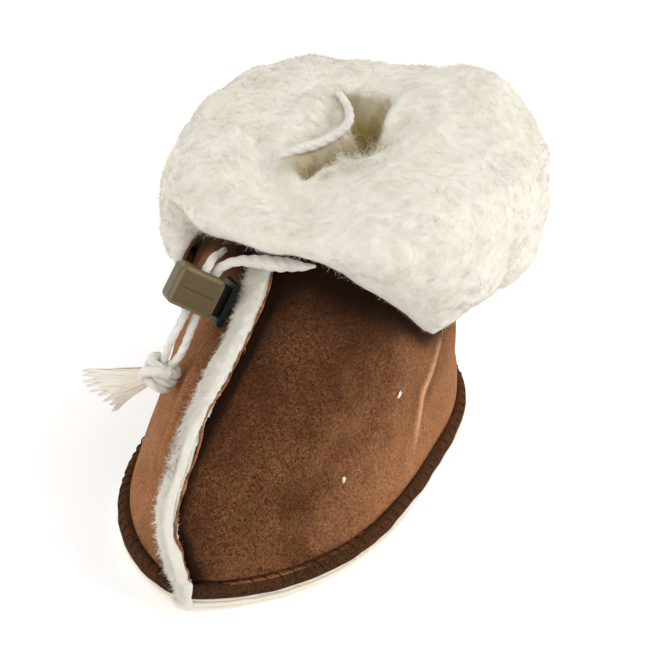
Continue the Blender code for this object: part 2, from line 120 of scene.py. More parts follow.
# Cord lock
BARREL = Vector((11.0, 7.0, 9.2))  # along the slide, deep, along the cords
PLATE = Vector((1.5, 8.2, 10.2))
PLATE_GAP = 1.3
PLUNGER_TRAVEL = 1.0
BARREL_WALL = 0.9
RUNNING_GAP = 0.25
SLOT = Vector((5.6, 3.0, 20.0))
SLOT_MIDDLE = 2.1  # along the slide
LOCK_MIDDLE = Vector((-13.5, -18.7, 56.7))
LOCK_SLIDE = Vector((0.756, 0.402, -0.516))
LOCK_FACE = Vector((0.589, -0.762, 0.27))

# Folds on the suede, raised in its shape, with a painted highlight along each
SIDE_CREASE = (
    (29.6, 18.5, 30.5),
    (29.4, 12.0, 26.6),
    (30.0, 6.8, 24.0),
    (30.1, 5.6, 20.6),
    (30.1, 4.0, 17.2),
    (29.9, 1.3, 13.9),
    (29.6, -2.2, 10.7),
)
SIDE_FOLD = ((-9.5, -14.0, 53.0), (-11.5, -21.0, 44.0), (-13.5, -29.0, 34.0), (-14.0, -36.0, 24.0))

# Specks of fleece: place, size and lean
LINT = (((27.4, -3.3, 28.6), 1.7, 1.5), ((22.1, -23.6, 17.9), 1.4, 0.1))

# Where the collar's fleece stands fuller: place, reach and height
FULLER = (((29.5, 49.5, 79.0), 11.5, 4.3), ((42.0, 34.0, 49.0), 14.0, 3.3))

# Where long curls are: place, reach and share
WISPS = (
    ((10.5, 12.5, 76.5), 4.0, 1.0),
    ((15.5, 13.5, 77.5), 3.0, 0.7),
    ((-31.0, -4.0, 60.0), 7.0, 0.25),
    ((-24.0, -16.0, 62.0), 6.0, 0.2),
)

# The mouth, and the ridges and creases of the fleece where the drawstring gathers it
MOUTH_MIDDLE = (4.5, 21.5)
MOUTH_SIZE = (17.0, 24.0)
LOWEST_RIM = 71.4  # of the folds where they meet the collar
FOLDS_FLOOR = 56  # the height at which the folds' solid ends, out of sight
FRONT_RIDGE = (
    (3.4, 3.8, 74.0),
    (4.4, 6.0, 74.8),
    (5.8, 8.4, 75.5),
    (7.9, 10.2, 76.1),
    (9.9, 12.9, 76.5),
    (12.6, 13.2, 77.0),
    (15.2, 13.5, 77.8),
    (17.8, 14.5, 78.6),
    (20.2, 17.3, 79.6),
)
LEFT_LIP = (
    (2.0, 1.5, 73.6),
    (0.8, 4.6, 75.0),
    (-1.0, 7.6, 75.8),
    (-1.8, 10.4, 76.1),
    (0.4, 13.2, 76.4),
    (2.4, 15.4, 76.7),
    (4.3, 18.4, 77.1),
    (5.3, 21.7, 77.6),
    (5.2, 25.0, 77.9),
    (3.8, 28.0, 78.2),
    (1.6, 31.2, 78.5),
    (-1.4, 34.5, 78.7),
    (-5.0, 38.5, 79.2),
)
DEEP_CREASE = (
    (2.4, 5.0, 73.2),
    (2.6, 8.2, 71.8),
    (3.9, 11.4, 70.2),
    (6.2, 14.6, 69.0),
    (8.8, 18.2, 68.5),
    (10.0, 22.5, 68.8),
    (9.2, 26.0, 70.0),
)
BACK_CREASES = (
    ((8.0, 27.2, 70.2), (5.6, 30.2, 71.6), (2.9, 34.0, 74.0), (0.6, 37.0, 76.2), (-2.1, 40.6, 78.2)),
    ((9.2, 26.0, 70.0), (8.6, 30.5, 72.0), (9.2, 34.0, 74.0), (11.0, 38.2, 76.4), (13.0, 42.8, 79.2)),
    ((10.2, 19.8, 69.0), (13.0, 18.4, 72.0), (16.0, 18.8, 75.0), (19.5, 20.8, 78.0)),
)
LEFT_LOBE = ((-9.0, 12.0, 78.0), (-7.0, 18.0, 79.2), (-5.0, 25.0, 79.8), (-6.0, 32.0, 80.0))
BACK_LOBE = ((7.2, 30.6, 72.6), (6.4, 34.2, 75.6), (5.6, 38.6, 78.4), (5.0, 43.5, 79.8))
FRONT_FLAP = ((-7.0, 3.0, 74.0), (-3.0, 0.5, 73.6), (2.0, -0.8, 73.2), (7.0, 0.4, 73.8), (11.0, 3.0, 75.0))
RIGHT_LOBE = ((14.8, 22.5, 77.0), (14.2, 27.0, 78.4), (13.8, 32.0, 79.4), (14.6, 38.0, 80.4))
MOUTH_LINES = (FRONT_RIDGE, LEFT_LIP, DEEP_CREASE, *BACK_CREASES, LEFT_LOBE, BACK_LOBE, RIGHT_LOBE, FRONT_FLAP)

# How far the fleece's edge is pulled up, by direction from the ankle in degrees
HEM_LIFT = (
    (-45, 0),
    (-26, -1.3),
    (-19, -0.8),
    (-13, 0.8),
    (-6, 2.0),
    (0, 2.8),
    (13, 3.0),
    (25, 2.2),
    (40, 0.6),
    (55, 0),
    (172, 0),
    (196, 3.6),
    (218, 3.4),
    (240, 1.8),
    (262, 0),
)

# How far the ankle's middle lies to the right, and the strip to the left, by height
ANKLE_LEAN = ((36.0, 0.0), (47.0, 0.7), (58.0, 1.8), (64.0, 2.6), (72.0, 3.6), (80.0, 4.2))
STRIP_SHIFT = ((0, 0.5), (20, 0.4), (30, 0.2), (36, 0.7), (44, 1.1), (52, 1.1), (60, 0.5))

# How much paler the suede is painted, by the direction it faces in degrees: 0 is the front and 90 the right. This
# is partly its rubbed nap and partly painted light and sheen on its sides.
RUBBED_AND_LIT_SIDES = (
    (-180, 0.34),
    (-120, 0.48),
    (-58, 0.52),
    (-40, 0.26),
    (-17, 0),
    (48, 0),
    (55, 0.06),
    (60, 0.15),
    (65, 0.2),
    (70, 0.235),
    (75, 0.3),
    (80, 0.395),
    (86, 0.47),
    (90, 0.42),
    (95, 0.54),
    (130, 0.48),
    (180, 0.34),
)

# Whip stitches. The path is one stitch's, outwards: in from the outline, height over the turned edge, shift along
STITCH_SPACING = 3.3
STITCH_THICKNESS = 0.42
STITCH_PATH = (
    (3.0, 0.2, -0.9),
    (2.3, 0.6, -0.6),
    (1.3, 0.6, -0.2),
    (0.6, 0.1, 0.2),
    (0.25, -0.7, 0.5),
    (0.6, -1.6, 0.8),
)

# Lamps: setting, size in metres and place in metres
LAMPS = (("key", 0.9, (1.05, 0.15, 0.75)), ("fill", 1.2, (-1.1, -0.5, 0.5)))
CAMERA_TARGET = (0, 0, 0.03)  # in metres
CAMERA_SHIFT = (10.7, 6.1)  # how far right of the target and above it the camera aims


class Pile(NamedTuple):
    """How fibres grow on a piece."""

    count: int
    length: float
    width: float
    lean: float  # 0 stands up, 1 lies down
    curl: float  # how far a fibre winds off its line, as a share of its length
    gather: float  # 0 is loose, 1 is drawn into pointed locks
    in_lock: int  # fibres in one lock
    seed: int


# ---------------------------------------------------------------- settings


def colour(name, default, description):
    return bpy.props.FloatVectorProperty(
        name=name, description=description, subtype="COLOR", size=4, min=0, max=1, default=(*default, 1)
    )


def length_setting(name, default, least, description):
    return bpy.props.FloatProperty(
        name=name, description=description, default=default, min=least, subtype="DISTANCE", unit="LENGTH"
    )


def angle_setting(name, degrees, description):
    return bpy.props.FloatProperty(
        name=name, description=description, default=math.radians(degrees), subtype="ANGLE", unit="ROTATION"
    )


def power_setting(name, default, description):
    return bpy.props.FloatProperty(name=name, description=description, default=default, min=0, unit="POWER")


class SlipperSuede(bpy.types.PropertyGroup):
    """Colours of the suede pieces"""

    nap: colour("Nap", (0.100, 0.031, 0.0095), "Brown of the brushed suede")
    deep: colour("Deep nap", (0.032, 0.0110, 0.0048), "Brown between the nap's fibres")
    # raised nap is also the colour that the painted side light and crease highlight draw the suede towards
    raised: colour("Raised nap", (0.500, 0.224, 0.098), "Brown of the nap's tips and rubbed places")
    edge: colour("Turned edge", (0.084, 0.045, 0.019), "Dark brown of the stitched flange")
    cut: colour("Cut edge", (0.220, 0.085, 0.032), "Tan of the hide's cut edge")
    natural: colour("Natural suede", (0.97, 0.962, 0.94), "Cream of the undyed sole")
    nap_height: length_setting("Nap height", 0.00035, 0, "Height of the nap's grain")


class SlipperFleece(bpy.types.PropertyGroup):
    """Colour and pile of the fleece"""

    tips: colour("Tips", (0.80, 0.775, 0.70), "Colour of the fibres' tips")
    # Deep in the folds the fleece is darker and yellower: partly its own colour, partly painted shade.
    hollow: colour("Hollow", (0.36, 0.268, 0.085), "Colour deep in the folds")
    roots: colour("Roots", (0.76, 0.72, 0.615), "Colour at the fibres' roots")
    pile_length: length_setting("Pile length", 0.0024, 0.0005, "Length of the fibres")
    fibre_width: length_setting("Fibre width", 0.00007, 0.00003, "Width of one fibre")


class SlipperCord(bpy.types.PropertyGroup):
    """Size and colour of the drawstring"""

    cotton: colour("Cotton", (0.93, 0.885, 0.80), "Cream of the cord")
    diameter: length_setting("Diameter", 0.0024, 0.001, "Diameter of the cord")
    lay: length_setting("Lay", 0.0075, 0.002, "Length of one turn of the twist")


class SlipperLock(bpy.types.PropertyGroup):
    """Colours of the cord lock"""

    body: colour("Body", (0.086, 0.056, 0.019), "Olive brown of the moulded body")
    # paler along the edges: partly rubbed plastic, partly a painted highlight on the rounded edges
    worn: colour("Worn edge", (0.30, 0.25, 0.13), "Paler plastic along rubbed edges")
    # the push plate is near black: its own dark olive, darkened further with painted shade for the shadow it sits
    # in
    plate: colour("Plate", (0.004, 0.005, 0.0035), "Dark olive of the push plate")


class SlipperStage(bpy.types.PropertyGroup):
    """Floor, lights and camera"""

    floor: colour("Floor", (0.95, 0.95, 0.945), "Colour of the floor")
    glow: bpy.props.FloatProperty(name="Floor glow", description="Light from the floor itself", default=0.2, min=0)
    sky: bpy.props.FloatProperty(name="Sky", description="Strength of the light all round", default=0.86, min=0)
    key: power_setting("Key light", 9.0, "Power of the main soft light")
    fill: power_setting("Fill light", 6.0, "Power of the second soft light")
    azimuth: angle_setting("Azimuth", 21.4, "Camera's turn round the slipper")
    elevation: angle_setting("Elevation", 33, "Camera's angle above the floor")
    distance: length_setting("Distance", 0.9, 0.2, "Camera's distance")
    lens: bpy.props.FloatProperty(name="Lens", description="Focal length in millimetres", default=220, min=20)


# ---------------------------------------------------------------- nodes


def add_node(tree, kind, values=None, **settings):
    """A node with its settings made, and its inputs given a value or linked to another node's output."""
    node = tree.nodes.new(kind)
    for name, value in settings.items():
        setattr(node, name, value)
    for name, value in (values or {}).items():
        if isinstance(value, bpy.types.NodeSocket):
            tree.links.new(value, node.inputs[name])
        else:
            node.inputs[name].default_value = value
    return node


def maths(tree, operation, first, second=0.0, clamp=False):
    """The value that a maths node gives."""
    values = {0: first, 1: second}
    return add_node(tree, "ShaderNodeMath", values, operation=operation, use_clamp=clamp).outputs[0]


def scaled(tree, value, factor, offset=None):
    """A value times a factor, with an offset or another value added."""
    product = maths(tree, "MULTIPLY", value, factor)
    return product if offset is None else maths(tree, "ADD", product, offset)


def mixed(tree, share, first, second):
    """A colour between two others."""
    values = {0: share, 6: first, 7: second}
    return add_node(tree, "ShaderNodeMix", values, data_type="RGBA", clamp_factor=True).outputs[2]


def spread(tree, value, low, high, to_low=0.0, to_high=1.0):
    """A value brought smoothly from one range to another."""
    values = {"Value": value, "From Min": low, "From Max": high, "To Min": to_low, "To Max": to_high}
    return add_node(tree, "ShaderNodeMapRange", values, interpolation_type="SMOOTHSTEP").outputs[0]


def speckle(tree, place, scale, detail=2.0, roughness=0.5, distortion=0.0):
    """Noise from 0 to 1."""
    values = {"Vector": place, "Scale": scale, "Detail": detail, "Roughness": roughness, "Distortion": distortion}
    return add_node(tree, "ShaderNodeTexNoise", values).outputs["Fac"]


def new_group(name, inputs, outputs):
    """An empty node group and its inputs' sockets. An input with no default is a place."""
    group = bpy.data.node_groups.new(name, "ShaderNodeTree")
    for label, default in inputs.items():
        kind = "NodeSocketVector" if default is None else "NodeSocketFloat"
        socket = group.interface.new_socket(name=label, in_out="INPUT", socket_type=kind)
        if default is not None:
            socket.default_value = default
    for label in outputs:
        group.interface.new_socket(name=label, in_out="OUTPUT", socket_type="NodeSocketFloat")
    return group, add_node(group, "NodeGroupInput").outputs


def nap_group():
    """Brushed suede: broad patches, flecks of nap, stray curls of it and a fine grain."""
    inputs = {"Place": None, "Patch Scale": 70.0, "Fleck Scale": 1900.0}
    group, given = new_group("nap_group", inputs, ("Patch", "Fleck", "Curl", "Height"))
    broad = speckle(group, given["Place"], given["Patch Scale"], 3.0, 0.55)
    flecks = speckle(group, given["Place"], given["Fleck Scale"], 3.0, 0.7, 0.9)
    grain = speckle(group, given["Place"], scaled(group, given["Fleck Scale"], 3.1), 2.0, 0.6)
    curls = speckle(group, given["Place"], scaled(group, given["Fleck Scale"], 0.26), 1.0, 0.5, 2.2)
    ridge = maths(group, "ABSOLUTE", maths(group, "SUBTRACT", curls, 0.5))
    values = {
        "Patch": spread(group, broad, 0.32, 0.68),
        "Fleck": spread(group, flecks, 0.34, 0.70),
        "Curl": spread(group, ridge, 0.05, 0.0),
        "Height": scaled(group, flecks, 0.7, scaled(group, grain, 0.45)),
    }
    add_node(group, "NodeGroupOutput", values)
    return group


def wool_group():
    """Matted wool or cotton: soft tone patches and fine crossing fibres."""
    inputs = {"Place": None, "Lock Scale": 90.0, "Fibre Scale": 900.0}
    group, given = new_group("wool_group", inputs, ("Tone", "Height"))
    tone = speckle(group, given["Place"], given["Lock Scale"], 3.0, 0.6)
    fibres = speckle(group, given["Place"], given["Fibre Scale"], 3.0, 0.65, 2.2)
    add_node(group, "NodeGroupOutput", {"Tone": spread(group, tone, 0.3, 0.7), "Height": fibres})
    return group


def scuff_group():
    """Moulded plastic: a faint cast texture and long thin scratches."""
    group, given = new_group("scuff_group", {"Place": None, "Texture Scale": 2600.0}, ("Scuff", "Height"))
    stretch = {"Vector": given["Place"], "Scale": (4.0, 0.5, 1.2)}
    lines = speckle(group, add_node(group, "ShaderNodeMapping", stretch).outputs[0], 900.0, 3.0, 0.55, 0.3)
    cast = speckle(group, given["Place"], given["Texture Scale"], 2.0, 0.5)
    values = {"Scuff": spread(group, lines, 0.6, 0.74), "Height": scaled(group, cast, 0.4, lines)}
    add_node(group, "NodeGroupOutput", values)
    return group


def use_group(tree, maker, **values):
    """The outputs of a shared node group, which is built once, with this material's own values."""
    group = bpy.data.node_groups.get(maker.__name__) or maker()
    inputs = {name.replace("_", " "): value for name, value in values.items()}
    inputs["Place"] = add_node(tree, "ShaderNodeTexCoord").outputs["Object"]
    return add_node(tree, "ShaderNodeGroup", inputs, node_tree=group).outputs


def attribute(tree, name):
    """A piece's own value from one of its mesh's attributes, or 0 where it has none."""
    return add_node(tree, "ShaderNodeAttribute", attribute_name=name).outputs["Fac"]


def bumped(tree, height, distance, strength):
    """A normal for a height."""
    values = {"Height": height, "Distance": distance, "Strength": strength}
    return add_node(tree, "ShaderNodeBump", values).outputs[0]


def shaded(tint, factor):
    """A colour made darker or lighter."""
    return [factor * part for part in tuple(tint)[:3]] + [1]


def new_material(name, **sockets):
    """A material whose Principled BSDF has these plain values on its own sockets."""
    made = bpy.data.materials.new(name)
    made.use_nodes = True
    shader = made.node_tree.nodes["Principled BSDF"]
    for label, value in sockets.items():
        shader.inputs[label.replace("_", " ")].default_value = value
    return made, made.node_tree, shader


def wire(tree, shader, **links):
    """Links values to a shader's sockets."""
    for label, value in links.items():
        tree.links.new(value, shader.inputs[label.replace("_", " ")])


def suede_material(name, deep, nap, raised, height, patch=70.0, fleck=1900.0):
    """Suede of any colour. Its rub attribute paints it paler, partly for brushed nap and partly as painted light
    and sheen; its pale attribute is a painted highlight, and its dark attribute painted shade.
    """
    made, tree, shader = new_material(
        name,
        Roughness=0.95,
        Sheen_Weight=0.3,
        Sheen_Roughness=0.4,
        Sheen_Tint=tuple(raised),
        Specular_IOR_Level=0.08,
    )
    surface = use_group(tree, nap_group, Patch_Scale=patch, Fleck_Scale=fleck)
    base = mixed(tree, surface["Fleck"], deep, nap)
    flecks = maths(tree, "MULTIPLY", surface["Fleck"], scaled(tree, surface["Patch"], 0.17, 0.075))
    curls = maths(tree, "MULTIPLY", surface["Curl"], scaled(tree, surface["Patch"], 0.19, 0.065))
    brushed = scaled(tree, surface["Fleck"], 0.6, 0.525)
    # the rub attribute paints it paler: partly brushed nap, partly painted light and sheen
    worn = maths(tree, "MULTIPLY", attribute(tree, "rub"), brushed, clamp=True)
    light = maths(tree, "ADD", maths(tree, "ADD", flecks, curls), worn, clamp=True)
    coloured = mixed(tree, light, base, raised)
    # the pale attribute is a painted highlight along the side crease
    coloured = mixed(tree, attribute(tree, "pale"), coloured, (0.80, 0.47, 0.29, 1))
    # painted shadow: a darker brown under the collar and beside the strip
    coloured = mixed(tree, attribute(tree, "dark"), coloured, shaded(deep, 0.42))
    wire(tree, shader, Base_Color=coloured, Normal=bumped(tree, surface["Height"], height, 0.9))
    return made


def wool_material(name, tips, roots, fibre_scale, height, soft=0.15, hollow=None):
    """Matted fleece or cotton, with no fibres of its own. Its hollow attribute is how deep in a fold it is, where
    it takes the hollow colour: partly the wool's own yellower colour, partly painted shade.
    """
    made, tree, shader = new_material(
        name,
        Roughness=0.95,
        Sheen_Weight=0.2,
        Sheen_Roughness=0.5,
        Specular_IOR_Level=0.05,
        Subsurface_Weight=soft,
        Subsurface_Scale=0.001,
        Subsurface_Radius=(1, 1, 1),
    )
    surface = use_group(tree, wool_group, Fibre_Scale=fibre_scale)
    share = scaled(tree, surface["Height"], 0.9, scaled(tree, surface["Tone"], 0.3))
    base = mixed(tree, spread(tree, share, 0.3, 0.85), roots, tips)
    base = mixed(tree, attribute(tree, "hollow"), base, hollow or roots)
    wire(tree, shader, Base_Color=base, Normal=bumped(tree, surface["Height"], height, 0.8))
    return made


def fibre_material(name, tips, roots, hollow):
    """Loose fibres: paler towards the tip, each a little different."""
    made, tree, shader = new_material(name, Roughness=0.9, Specular_IOR_Level=0.12, Sheen_Weight=0.15)
    surface = use_group(tree, wool_group, Lock_Scale=55.0, Fibre_Scale=420.0)
    base = mixed(tree, spread(tree, attribute(tree, "tip"), 0.0, 0.8), roots, tips)
    shade = scaled(tree, attribute(tree, "tone"), 0.5, scaled(tree, surface["Tone"], 0.5))
    warm = mixed(tree, spread(tree, shade, 0.2, 0.9, 0.0, 0.6), base, roots)
    # fibres deep in the folds take the hollow colour: partly their own, partly painted shade
    wire(tree, shader, Base_Color=mixed(tree, attribute(tree, "hollow"), warm, hollow))
    return made


def plastic_material(name, body, worn, shine=0.32):
    """Moulded plastic, paler where its edge attribute says: along its rounded edges, partly rubbed and partly a
    painted highlight.
    """
    made, tree, shader = new_material(name, IOR=1.47, Specular_IOR_Level=shine)
    surface = use_group(tree, scuff_group)
    rubbed = maths(tree, "MAXIMUM", attribute(tree, "edge"), scaled(tree, surface["Scuff"], 0.15), clamp=True)
    wire(
        tree,
        shader,
        Base_Color=mixed(tree, rubbed, body, worn),
        Roughness=spread(tree, surface["Height"], 0.3, 1.1, 0.34, 0.5),
        Normal=bumped(tree, surface["Height"], 0.00006, 0.5),
    )
    return made


def finish(name):
    """One of the slipper's materials, made when it is first used."""
    scene = bpy.context.scene
    suede, fleece = scene.slipper_suede, scene.slipper_fleece
    cord, lock = scene.slipper_cord, scene.slipper_lock
    nap, edge, hollow = suede.nap, suede.edge, fleece.hollow
    bleached, toned = (0.96, 0.945, 0.91, 1), (0.92, 0.905, 0.87, 1)
    dull_tips, dull_roots = shaded(fleece.tips, 0.92), shaded(fleece.roots, 0.92)
    finishes = {
        "brown_suede": (suede_material, suede.deep, nap, suede.raised, suede.nap_height),
        "turned_edge": (suede_material, (0.018, 0.008, 0.005, 1), edge, nap, suede.nap_height),
        "cut_edge": (suede_material, nap, suede.cut, (0.50, 0.24, 0.10, 1), 0.0002, 200.0, 1500.0),
        "natural_suede": (suede_material, toned, suede.natural, bleached, 0.0002),
        "brown_thread": (suede_material, (0.040, 0.019, 0.009, 1), edge, nap, 0.0001, 300.0, 3000.0),
        "fleece_skin": (wool_material, fleece.tips, fleece.roots, 1500.0, 0.00025, 0.0, hollow),
        "strip_skin": (wool_material, dull_tips, dull_roots, 1100.0, 0.0004, 0.0, hollow),
        "cotton": (wool_material, cord.cotton, shaded(cord.cotton, 0.7), 2200.0, 0.0004),
        "fleece_fibre": (fibre_material, fleece.tips, fleece.roots, hollow),
        "strip_fibre": (fibre_material, dull_tips, dull_roots, hollow),
        # the cotton fibres are browner towards their roots: painted shade where the frayed ends crowd at the knot
        "cotton_fibre": (fibre_material, (0.95, 0.93, 0.88, 1), (0.80, 0.71, 0.57, 1), cord.cotton),
        "lock_plastic": (plastic_material, lock.body, lock.worn),
        "plate_plastic": (plastic_material, lock.plate, shaded(lock.plate, 1.8), 0.12),
    }
    maker, *values = finishes[name]
    return bpy.data.materials.get(name) or maker(name, *values)


# ---------------------------------------------------------------- shapes


def cad_shape(node):
    """A merged copy of a frame node's mesh, with its triangles joined into quads where they can be."""
    shape = bmesh.new()
    shape.from_mesh(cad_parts[node].data)
    bmesh.ops.remove_doubles(shape, verts=shape.verts[:], dist=0.01 * MM)
    limit = math.radians(50)
    faces = shape.faces[:]
    bmesh.ops.join_triangles(shape, faces=faces, angle_face_threshold=limit, angle_shape_threshold=limit)
    for face in shape.faces:
        face.smooth = True
    return shape


def mesh_of(name, shape):
    """A mesh from a bmesh, which is then gone."""
    mesh = bpy.data.meshes.new(name)
    shape.to_mesh(mesh)
    shape.free()
    return mesh


def merge(shape, other):
    """Adds a second bmesh to a first."""
    mesh = mesh_of("part", other)
    shape.from_mesh(mesh)
    bpy.data.meshes.remove(mesh)


def placed(name, data):
    """A new object in the scene."""
    made = bpy.data.objects.new(name, data)
    bpy.context.scene.collection.objects.link(made)
    return made


def add_piece(name, data, finishes, replaced=(), body=BODY):
    """A finished object from a bmesh or a mesh, riding on its body."""
    mesh = mesh_of(name, data) if isinstance(data, bmesh.types.BMesh) else data
    mesh.name = name
    piece = placed(name, mesh)
    for each in finishes:
        mesh.materials.append(finish(each))
    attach(piece, body)
    if replaced:
        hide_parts(*replaced)
    return piece


def settle(piece):
    """Makes a piece's modifiers part of its mesh."""
    bpy.context.view_layer.update()
    graph = bpy.context.evaluated_depsgraph_get()
    old = piece.data
    name = old.name
    settled = piece.evaluated_get(graph)
    piece.data = bpy.data.meshes.new_from_object(settled, preserve_all_data_layers=True, depsgraph=graph)
    piece.modifiers.clear()
    bpy.data.meshes.remove(old)
    piece.data.name = name
    piece.data.shade_smooth()
    return piece


def subdivide(piece, levels):
    """Rounds a piece with finer faces."""
    modifier = piece.modifiers.new("soft", "SUBSURF")
    modifier.levels = levels
    modifier.render_levels = levels
    return settle(piece)


def remesh(piece, voxel, smoothing):
    """Makes a piece one even skin of small faces, with voxel's size in millimetres, and smooths it."""
    even = piece.modifiers.new("even", "REMESH")
    even.mode = "VOXEL"
    even.voxel_size = voxel * MM
    soft = piece.modifiers.new("soft", "SMOOTH")
    soft.factor = 0.5
    soft.iterations = smoothing
    return settle(piece)


def points_of(mesh):
    """A mesh's points as an array."""
    flat = np.zeros(len(mesh.vertices) * 3)
    mesh.vertices.foreach_get("co", flat)
    return flat.reshape(-1, 3)


def normals_of(mesh):
    """The normals at a mesh's points."""
    flat = np.zeros(len(mesh.vertices) * 3)
    mesh.vertex_normals.foreach_get("vector", flat)
    return flat.reshape(-1, 3)


def set_points(mesh, points):
    """Moves a mesh's points."""
    mesh.vertices.foreach_set("co", np.ascontiguousarray(points, np.float32).ravel())
    mesh.update()


def set_attribute(mesh, name, values):
    """Gives each of a mesh's points a value that its materials read."""
    layer = mesh.attributes.new(name, "FLOAT", "POINT")
    layer.data.foreach_set("value", np.ascontiguousarray(values, np.float32))


def ripple(points, size, shift=0.0):
    """Smooth noise from -1 to 1 at each point, with lumps of a size in millimetres."""
    scale = 1 / (size * MM)
    offset = Vector((shift, shift * 1.7, shift * 0.6))
    return np.array([noise.noise(Vector(point) * scale + offset) for point in points])


def drift(points, size, shift=0.0):
    """A smooth direction at each point, the same in every run."""
    noise.seed_set(DRIFT_SEED)
    scale = 1 / (size * MM)
    offset = Vector((shift, shift * 1.3, shift * 2.1))
    return np.array([noise.noise_vector(Vector(point) * scale + offset) for point in points])


def smooth_step(value, low=0.0, high=1.0):
    """0 below low and 1 above high, with an even curve between them."""
    share = np.clip((value - low) / (high - low), 0, 1)
    return share * share * (3 - 2 * share)


def near(distance, reach, middle=0.0):
    """1 at a distance from something, falling off smoothly on both sides of it."""
    return np.exp(-(((distance - middle) / reach) ** 2))


def near_spot(points, spot, reach):
    """1 at a spot, falling off smoothly all round."""
    return np.exp(-((points - spot) ** 2).sum(axis=1) / reach**2)


def looked_up(value, table):
    """Values between the rows of a table of places and values."""
    return np.interp(value, *zip(*table))


def unit(vectors):
    """Vectors of length 1 in the same directions."""
    return vectors / np.maximum(np.linalg.norm(vectors, axis=-1, keepdims=True), 1e-12)


def run_along(route):
    """How far along a route each of its points is."""
    return np.append(0, np.cumsum(np.linalg.norm(np.diff(route, axis=0), axis=1)))


def surface_of(*nodes):
    """The faces of frame nodes, to find the nearest of, or one that a ray meets."""
    corners, faces = [], []
    for node in nodes:
        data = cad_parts[node].data
        start = len(corners)
        corners += [vert.co.copy() for vert in data.vertices]
        faces += [[start + index for index in polygon.vertices] for polygon in data.polygons]
    return BVHTree.FromPolygons(corners, faces)


def distance_to(points, route):
    """How far each point is from a route, in millimetres, and how far along it, from 0 to 1, it is nearest."""
    route = np.array(route, float) * MM
    best = np.full(len(points), np.inf)
    along = np.zeros(len(points))
    for index, (start, end) in enumerate(zip(route, route[1:])):
        step = end - start
        share = np.clip((points - start) @ step / (step @ step), 0, 1)
        away = np.linalg.norm(points - start - share[:, None] * step, axis=1)
        nearer = away < best
        best[nearer] = away[nearer]
        along[nearer] = (index + share[nearer]) / (len(route) - 1)
    return best / MM, along


def joined_copies(name, template, places):
    """One mesh of many copies of a small bmesh, which is then gone. Each copy has its own points."""
    count, size = places.shape[:2]
    template.verts.index_update()
    loops = np.array([vert.index for face in template.faces for vert in face.verts])
    sides = np.array([len(face.verts) for face in template.faces])
    template.free()
    mesh = bpy.data.meshes.new(name)
    mesh.vertices.add(count * size)
    mesh.vertices.foreach_set("co", places.astype(np.float32).ravel())
    mesh.loops.add(count * len(loops))
    corners = loops + size * np.arange(count)[:, None]
    mesh.loops.foreach_set("vertex_index", corners.astype(np.int32).ravel())
    mesh.polygons.add(count * len(sides))
    starts = np.concatenate(([0], np.cumsum(sides)[:-1])) + len(loops) * np.arange(count)[:, None]
    mesh.polygons.foreach_set("loop_start", starts.astype(np.int32).ravel())
    mesh.update(calc_edges=True)
    mesh.shade_smooth()
    return mesh


def fibre_template(steps):
    """A flat fibre with a pointed tip, its points' places along, from 0 to 1, and across, from -0.5 to 0.5."""
    shape = bmesh.new()
    bmesh.ops.create_grid(shape, x_segments=1, y_segments=steps, size=0.5)
    for vert in shape.verts:
        vert.co.y += 0.5
    tip = [vert for vert in shape.verts if vert.co.y > 0.999]
    bmesh.ops.pointmerge(shape, verts=tip, merge_co=(0, 1, 0))
    return shape, np.array([vert.co.y for vert in shape.verts]), np.array([vert.co.x for vert in shape.verts])


def fibre_mesh(name, template, along, places, tone):
    """One mesh of many fibres, each with its own tone."""
    mesh = joined_copies(name, template, places)
    set_attribute(mesh, "tip", np.tile(along, len(places)))
    set_attribute(mesh, "tone", np.repeat(tone, len(along)))
    return mesh


def scattered(mesh, count, rng, chance):
    """Random places on a mesh and the normals there. Chance gives a face's share from its middle and normal."""
    mesh.calc_loop_triangles()
    flat = np.zeros(len(mesh.loop_triangles) * 3, np.int32)
    mesh.loop_triangles.foreach_get("vertices", flat)
    triangles = flat.reshape(-1, 3)
    points, normals = points_of(mesh), normals_of(mesh)
    corners = points[triangles]
    first, second = corners[:, 1] - corners[:, 0], corners[:, 2] - corners[:, 0]
    area = np.linalg.norm(np.cross(first, second), axis=1)
    area = area * chance(corners.mean(axis=1) / MM, unit(normals[triangles].mean(axis=1)))
    picked = rng.choice(len(area), count, p=area / area.sum())
    first, second = rng.random((2, count, 1))
    over = first + second > 1
    first, second = np.where(over, 1 - first, first), np.where(over, 1 - second, second)
    shares = np.concatenate((1 - first - second, first, second), axis=1)[..., None]
    return (corners[picked] * shares).sum(axis=1), unit((normals[triangles[picked]] * shares).sum(axis=1))


def flat_distance(points, route):
    """How far each point is, seen from above, from a route, and how far along it, as distance_to gives them."""
    flat = np.column_stack((points[:, :2], np.zeros(len(points))))
    return distance_to(flat, [(x, y, 0.0) for x, y, _ in route])


def mouth_surface(points, rim):
    """Heights, in millimetres, of the gathered fleece between its ridges and creases and the collar's rim."""
    weights, heights = np.zeros(len(points)), np.zeros(len(points))
    for route in (*MOUTH_LINES, rim):
        away, along = flat_distance(points, route)
        level = np.interp(along, np.linspace(0, 1, len(route)), [place[2] for place in route])
        weight = 1 / (away + 0.35) ** 3
        weights += weight
        heights += weight * level
    return heights / weights


def hollowness(points):
    """How deep in the mouth's folds each point is, from 0 to 1."""
    below = 76.6 + 0.06 * points[:, 1] / MM - points[:, 2] / MM
    creases = np.min([flat_distance(points, route)[0] for route in (DEEP_CREASE, *BACK_CREASES)], axis=0)
    ridge, _ = flat_distance(points, FRONT_RIDGE)
    held = (1 - smooth_step(creases, 4.2, 6.8)) * smooth_step(ridge, 0.8, 2.2)
    held = held * smooth_step(points[:, 1] / MM, 4.0, 7.0)
    return held * (0.62 * smooth_step(below, 0.0, 1.8) + 0.38 * smooth_step(below, 2.0, 6.5))


def from_mouth(points):
    """Distance from the mouth's middle: 1 at its edge."""
    flat = points[:, :2] / MM - np.array(MOUTH_MIDDLE)
    return np.linalg.norm(flat / np.array(MOUTH_SIZE), axis=1)


